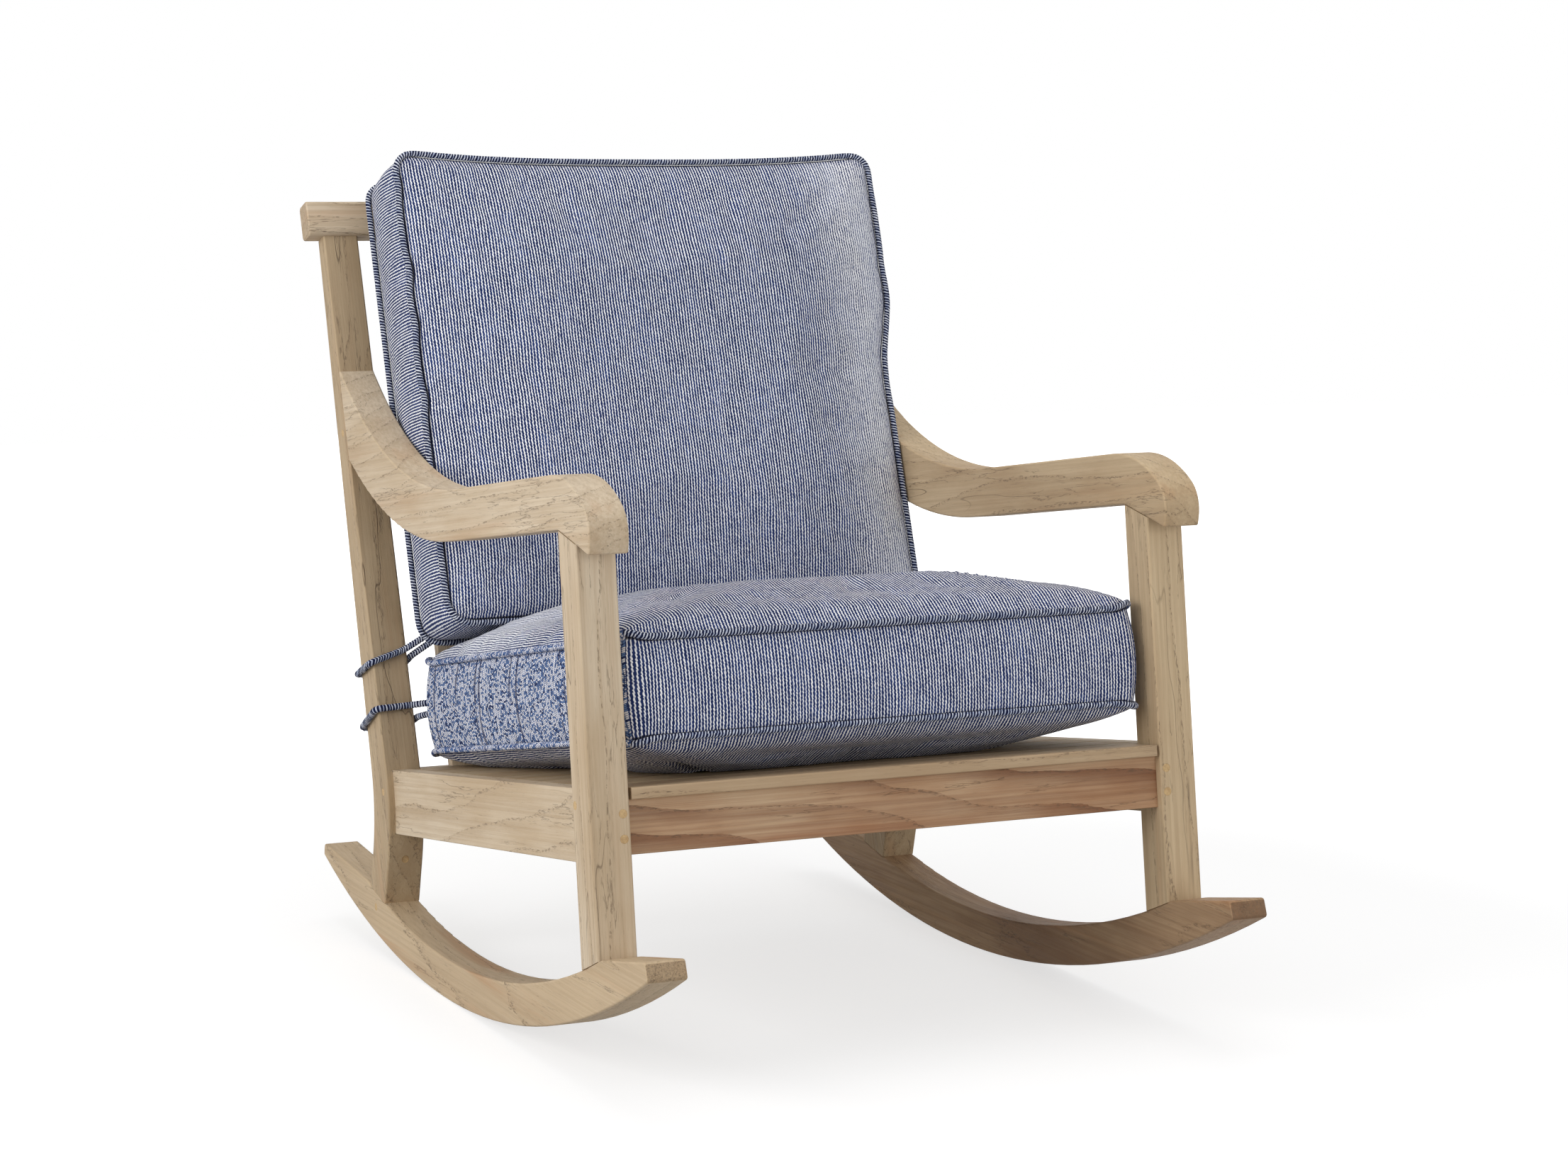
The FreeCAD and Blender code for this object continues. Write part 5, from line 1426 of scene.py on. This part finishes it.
@dataclass(frozen=True)
class Zip:
    """A coil zip across one boxing strip: two tapes, interlocked teeth, a slider and its pull.

    The tapes start at tape_inner of a tooth from the middle. A tooth fills tooth_share of its
    pitch. The bridge is the span and half width of the slider's raised middle, as shares of it.
    """

    node: str
    panel: Panel
    length: float = 0.420
    tape: float = 0.0062
    tape_thickness: float = 0.0008
    tape_sunk: float = 0.0002
    tape_inner: float = 0.42
    tape_steps: int = 42
    tooth: float = 0.0046
    tooth_reach: tuple[float, float] = (-0.18, 0.5)
    tooth_share: float = 0.72
    tooth_height: float = 0.0008
    pitch: float = 0.0016
    slider: Triple = (0.0110, 0.0078, 0.0036)
    slider_gap: float = 0.0006
    bridge: Triple = (0.72, 0.28, 0.2)
    bridge_height: float = 0.0014
    stop: float = 0.004
    pull: Triple = (0.0058, 0.0200, 0.0014)
    pull_gap: float = 0.001

    def surface(self, cushion: Cushion, x: Points) -> tuple[Points, float, float]:
        """Where the boxing strip lies along its middle.

        Args:
            cushion: the cushion whose strip carries the zip.
            x: places across the chair.

        Returns:
            The strip's place along the cushion at each x, 1 or -1 for the way out of it, and
            the strip's middle level.
        """
        strip = cushion.settled[cushion.ring[cushion.rows // 2]]
        rear = self.panel is Panel.REAR
        chosen = strip[(strip[:, 1] > cushion.middle) == rear]
        chosen = chosen[np.argsort(chosen[:, 0])]
        along = np.interp(x, chosen[:, 0], chosen[:, 1])
        return along, (1.0 if rear else -1.0), float(strip[:, 2].mean())

    def blocks(self) -> list[tuple]:
        """The zip's small blocks.

        Returns:
            For each, its spans across the chair, across the strip and out of it, and its finish:
            0 for tape, 1 for coil, 2 for metal.
        """
        made = []
        half = self.length / 2
        edges = np.linspace(-half, half, self.tape_steps + 1)
        for start, end in zip(edges, edges[1:]):
            for sign in (-1, 1):
                sides = sorted((sign * self.tooth * self.tape_inner, sign * self.tape))
                made.append(((start, end), sides, (-self.tape_sunk, self.tape_thickness), 0))
        teeth = (self.tape_thickness * 0.5, self.tape_thickness + self.tooth_height)
        for index in range(int(self.length / self.pitch)):
            start = -half + index * self.pitch
            sign = 1 if index % 2 else -1
            sides = sorted(sign * self.tooth * share for share in self.tooth_reach)
            made.append(((start, start + self.pitch * self.tooth_share), sides, teeth, 1))
        long, wide, high = self.slider
        low, end = self.tape_thickness + self.slider_gap, half - self.stop
        top = low + high
        made.append(((end - long, end), (-wide / 2, wide / 2), (low, top), 2))
        low, high, half_wide = self.bridge
        made.append(((end - long * low, end - long * high), (-wide * half_wide, wide * half_wide),
                     (top, top + self.bridge_height), 2))
        wide, long, thick = self.pull
        made.append(((end - self.stop - wide, end - self.stop),
                     (-long - self.pull_gap, -self.pull_gap), (top, top + thick), 2))
        return made

    def build(self, cushion: Cushion, *finishes: bpy.types.Material) -> None:
        """Make the zip on a cushion.

        Args:
            cushion: the finished cushion.
            *finishes: of the tapes, the teeth and the slider.
        """
        vertices, faces, order = [], [], []
        for across, sides, outs, finish in self.blocks():
            first = len(vertices)
            for x in across:
                along, way, level = self.surface(cushion, np.array([x]))
                vertices += [(x, along[0] + way * out, level + side)
                             for side in sides for out in outs]
            faces += [[first + corner for corner in face] for face in BLOCK_FACES]
            order += [finish] * len(BLOCK_FACES)
        points = cushion.stand(np.array(vertices))
        piece = make_object(f"{self.node}_coil", points, faces, smooth=False)
        dress(piece, finishes, order)
        hand_in(piece, self.node)


# ---------------------------------------------------------------- timber


@dataclass(frozen=True)
class Timber:
    """All wooden pieces and the finish of each."""

    seat_slats: int = 8
    back_slats: int = 6
    pegs: tuple[str, ...] = ("front_rail_pegs", "side_rail_pegs", "arm_pegs", "runner_pegs",
                             "post_plugs")
    screws: tuple[str, ...] = ("slat_screws", "cleat_screws")

    def finishes(self) -> dict[str, Teak]:
        """The finish of every timber.

        Returns:
            The finishes by node.
        """
        shaded = {"pale": (192, 170, 138), "brown": (160, 136, 104)}
        ruddy = {"pale": (206, 178, 144), "brown": (166, 122, 86), "late": (104, 58, 30),
                 "red": (146, 80, 42)}
        # Painted shade: darker, more saturated tones for the right leg and arm, which lie in more
        # shade.
        right_painted_shade = {"pale": (208, 185, 150), "brown": (182, 154, 119)}
        # Painted shade: darker tones for the right runner, which lies in shadow under the chair.
        runner_painted_shade = {"pale": (182, 152, 118), "brown": (140, 110, 82), "late": (116, 84, 58)}
        made = {}
        for seed, (hand, leg, runner) in enumerate((
                ("left", {}, {"pale": (204, 181, 148)}), ("right", right_painted_shade, runner_painted_shade))):
            made.update({
                f"runner_{hand}": Teak(Run.RUNNER, 1.3 + seed, (0.03, 0.09), 0.5, ends=0.72,
                                       end_from=0.72, **runner),
                f"front_leg_{hand}": Teak(Run.LEG, 3.1 + seed, (0.06, 0.05), 0.20, **leg),
                f"back_post_{hand}": Teak(Run.POST, 5.7 + seed, (0.02, 0.08), 0.2, 0.5, 0.8,
                                          **shaded),
                f"arm_{hand}": Teak(Run.LEVEL, 7.9 + seed, (0.05, 0.07), 0.22, ends=0.1, **leg),
                f"side_rail_{hand}": Teak(Run.LEVEL, 9.4 + seed, (0.07, 0.02), 0.08, 0.6),
                f"slat_cleat_{hand}": Teak(Run.LEVEL, 11.2 + seed)})
        made.update({
            "crest_rail": Teak(Run.CREST, 13.6),
            "front_rail": Teak(Run.ACROSS, 14.2, (0.03, 0.10), 0.45, 1.0, 0.2, 0.027, 0.09,
                               **ruddy),
            "rear_rail": Teak(Run.ACROSS, 15.9),
            "front_board": Teak(Run.ACROSS, 17.3, (0.01, 0.05), 0.4, pale=(204, 182, 150),
                                brown=(178, 150, 118)),
            "centre_bearer": Teak(Run.LEVEL, 18.8)})
        for index in range(self.seat_slats):
            made[f"seat_slat_{index + 1}"] = Teak(Run.ACROSS, 20.4 + 1.7 * index, **shaded)
        for index in range(self.back_slats):
            made[f"back_slat_{index + 1}"] = Teak(Run.POST, 40.2 + 1.9 * index)
        return made

    def build(self) -> None:
        """Dress every wooden node, with its pegs and screws."""
        for node, finish in self.finishes().items():
            dress(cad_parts[node], [finish.material(f"{node}_teak")])
            report(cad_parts[node])
        for nodes, finish in ((self.pegs, Peg().material("golden_peg")),
                              (self.screws, STEEL.material("plated_steel"))):
            for node in nodes:
                dress(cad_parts[node], [finish])
                report(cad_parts[node])


# ---------------------------------------------------------------- studio


@dataclass(frozen=True)
class Studio:
    """The floor, the white surroundings, the lamps and the camera.

    Each lamp is (name, place, the point that it faces, watts, width in metres).
    """

    lens: float = 75.34
    sensor: float = 36.0
    eye: Triple = (-1.61217, -3.58308, 0.95685)
    right: Triple = (0.90805095, -0.41885972, 0.0)
    back: Triple = (-0.41586107, -0.90155012, 0.11944432)
    sight: float = 40.0
    floor_half: float = 9.0
    floor_grey: float = 0.46
    floor_fleck: float = 0.97
    fleck_share: float = 0.1
    flecks_per_metre: float = 60.0
    floor_glow: float = 0.66
    far_glow: float = 1.2
    fade: tuple[float, float] = (1.0, 2.4)
    sky: float = 0.5
    lamps: tuple[tuple, ...] = (("left", (-3.3, -0.7, 1.5), (0, 0, 0.6), 60.0, 2.0),
                                ("top", (0.1, 0.2, 3.6), (0, 0, 0.4), 27.0, 2.6),
                                ("front", (0.9, -4.3, 1.1), (0, 0, 0.6), 42.0, 2.0))

    def camera(self) -> None:
        """Put the camera at its place."""
        data = bpy.data.cameras.new("camera")
        data.sensor_width = self.sensor
        data.lens = self.lens
        data.clip_end = self.sight
        camera = bpy.data.objects.new("camera", data)
        right, back = Vector(self.right), Vector(self.back)
        turn = Matrix((right, back.cross(right), back)).transposed().to_4x4()
        camera.matrix_world = Matrix.Translation(self.eye) @ turn
        bpy.context.scene.collection.objects.link(camera)
        bpy.context.scene.camera = camera

    def floor(self) -> None:
        """Lay a wide pale floor that keeps the chair's shadow and fades to white far off."""
        half = self.floor_half
        corners = [(-half, -half, 0), (half, -half, 0), (half, half, 0), (-half, half, 0)]
        floor = make_object("floor", np.array(corners, dtype=float), [(0, 1, 2, 3)], False)
        graph = Graph("pale_floor")
        place = graph.place()
        grain = graph.noise(place, self.flecks_per_metre)
        colour = graph.mix(graph.between(grain, 0.0, 1.0, 0.0, self.fleck_share),
                           *([self.floor_grey * share] * 3 + [1.0]
                             for share in (1.0, self.floor_fleck)))
        glow = graph.between(graph.vector("LENGTH", place), *self.fade, self.floor_glow,
                             self.far_glow) * graph.seen()
        matt = graph.add("BsdfDiffuse", {"Color": colour})
        lit = graph.add("Emission", {"Color": (1, 1, 1, 1), "Strength": glow})
        dress(floor, [graph.close(graph.add("AddShader", {0: matt, 1: lit}))])

    def surroundings(self) -> None:
        """Make it white where it is seen, and a soft light everywhere else."""
        graph = Graph("studio", world=True)
        soft, white = (graph.add("Background", {"Color": (1, 1, 1, 1), "Strength": strength})
                       for strength in (self.sky, 1.0))
        mixed = graph.add("MixShader", {0: graph.seen(), 1: soft, 2: white})
        bpy.context.scene.world = graph.close(mixed)

    def lamp(self, name: str, place: Triple, target: Triple, power: float,
             size: float) -> None:
        """Hang one soft square lamp.

        Args:
            name: its name.
            place: where it hangs, in metres.
            target: the point that it faces.
            power: its power in watts.
            size: its width in metres.
        """
        data = bpy.data.lights.new(name, "AREA")
        data.energy = power
        data.size = size
        lamp = bpy.data.objects.new(name, data)
        lamp.location = place
        lamp.rotation_mode = "QUATERNION"
        way = Vector(target) - Vector(place)
        lamp.rotation_quaternion = way.to_track_quat("-Z", "Y")
        bpy.context.scene.collection.objects.link(lamp)

    def build(self) -> None:
        """Set everything up."""
        bpy.context.scene.view_settings.view_transform = "Standard"
        self.camera()
        self.floor()
        self.surroundings()
        for lamp in self.lamps:
            self.lamp(*lamp)


def main() -> None:
    """Build the studio, the timber, the cushions and their cords, in that order."""
    logging.basicConfig(level=logging.INFO, format="%(name)s: %(message)s")
    Studio().build()
    Timber().build()

    ribbed = RibbedWeave().material("ribbed_cloth")
    heather = Heather().material("heather_cloth")
    foam = Foam().material("foam")
    striped = CordCover().material("striped_cloth")
    panels = {panel: ribbed for panel in Panel}
    seat = SeatCushion("seat_cushion", SEAT_PLACE, width=0.628, length=0.668, start=0.0,
                       boxing=0.109, upper_crown=0.060, lower_crown=0.046, corner=0.018,
                       bulge=0.0095, shoulder=0.125, slimness=0.72)
    knitted = Heather(0.0034, 0.0030, blue=(92, 124, 176), navy=(46, 66, 116))
    seat.build(Covers({**panels, Panel.SIDES: heather}, striped,
                      knitted.material("heather_piping"), foam, ("top", "bottom")))
    back = BackCushion("back_cushion", BACK_PLACE, width=0.634, length=0.592,
                       start=BACK_START, boxing=BACK_BOXING, upper_crown=0.043,
                       lower_crown=0.049, corner=0.022, rib_slope=0.05, rib_bend=-0.095,
                       bulge=0.007)
    back.build(Covers(panels, striped, striped, foam, ("front", "rear")))

    wound = CordCover(slant=0.9, wind=0.0, girth=0.0283).material("wound_cloth")
    barred = CordCover(wind=0.0, girth=0.0283).material("barred_cloth")
    TieRoute("tie_upper", ((0.028, -0.041, 0.168), (0.038, -0.043, 0.163)),
             (0.151, 0.137, 0.134, 0.138, 0.144)).build(wound)
    TieRoute("tie_lower", ((0.026, -0.031, 0.078), (0.022, -0.029, 0.065)),
             (0.080, 0.078, 0.066, 0.064, 0.066)).build(barred)
    zips = (ZIP_TAPE.material("zip_tape"), ZIP_COIL.material("zip_coil"),
            STEEL.material("zip_metal"))
    Zip("seat_cushion_zip", Panel.REAR).build(seat, *zips)
    Zip("back_cushion_zip", Panel.FRONT).build(back, *zips)


if __name__ == "__main__":
    main()
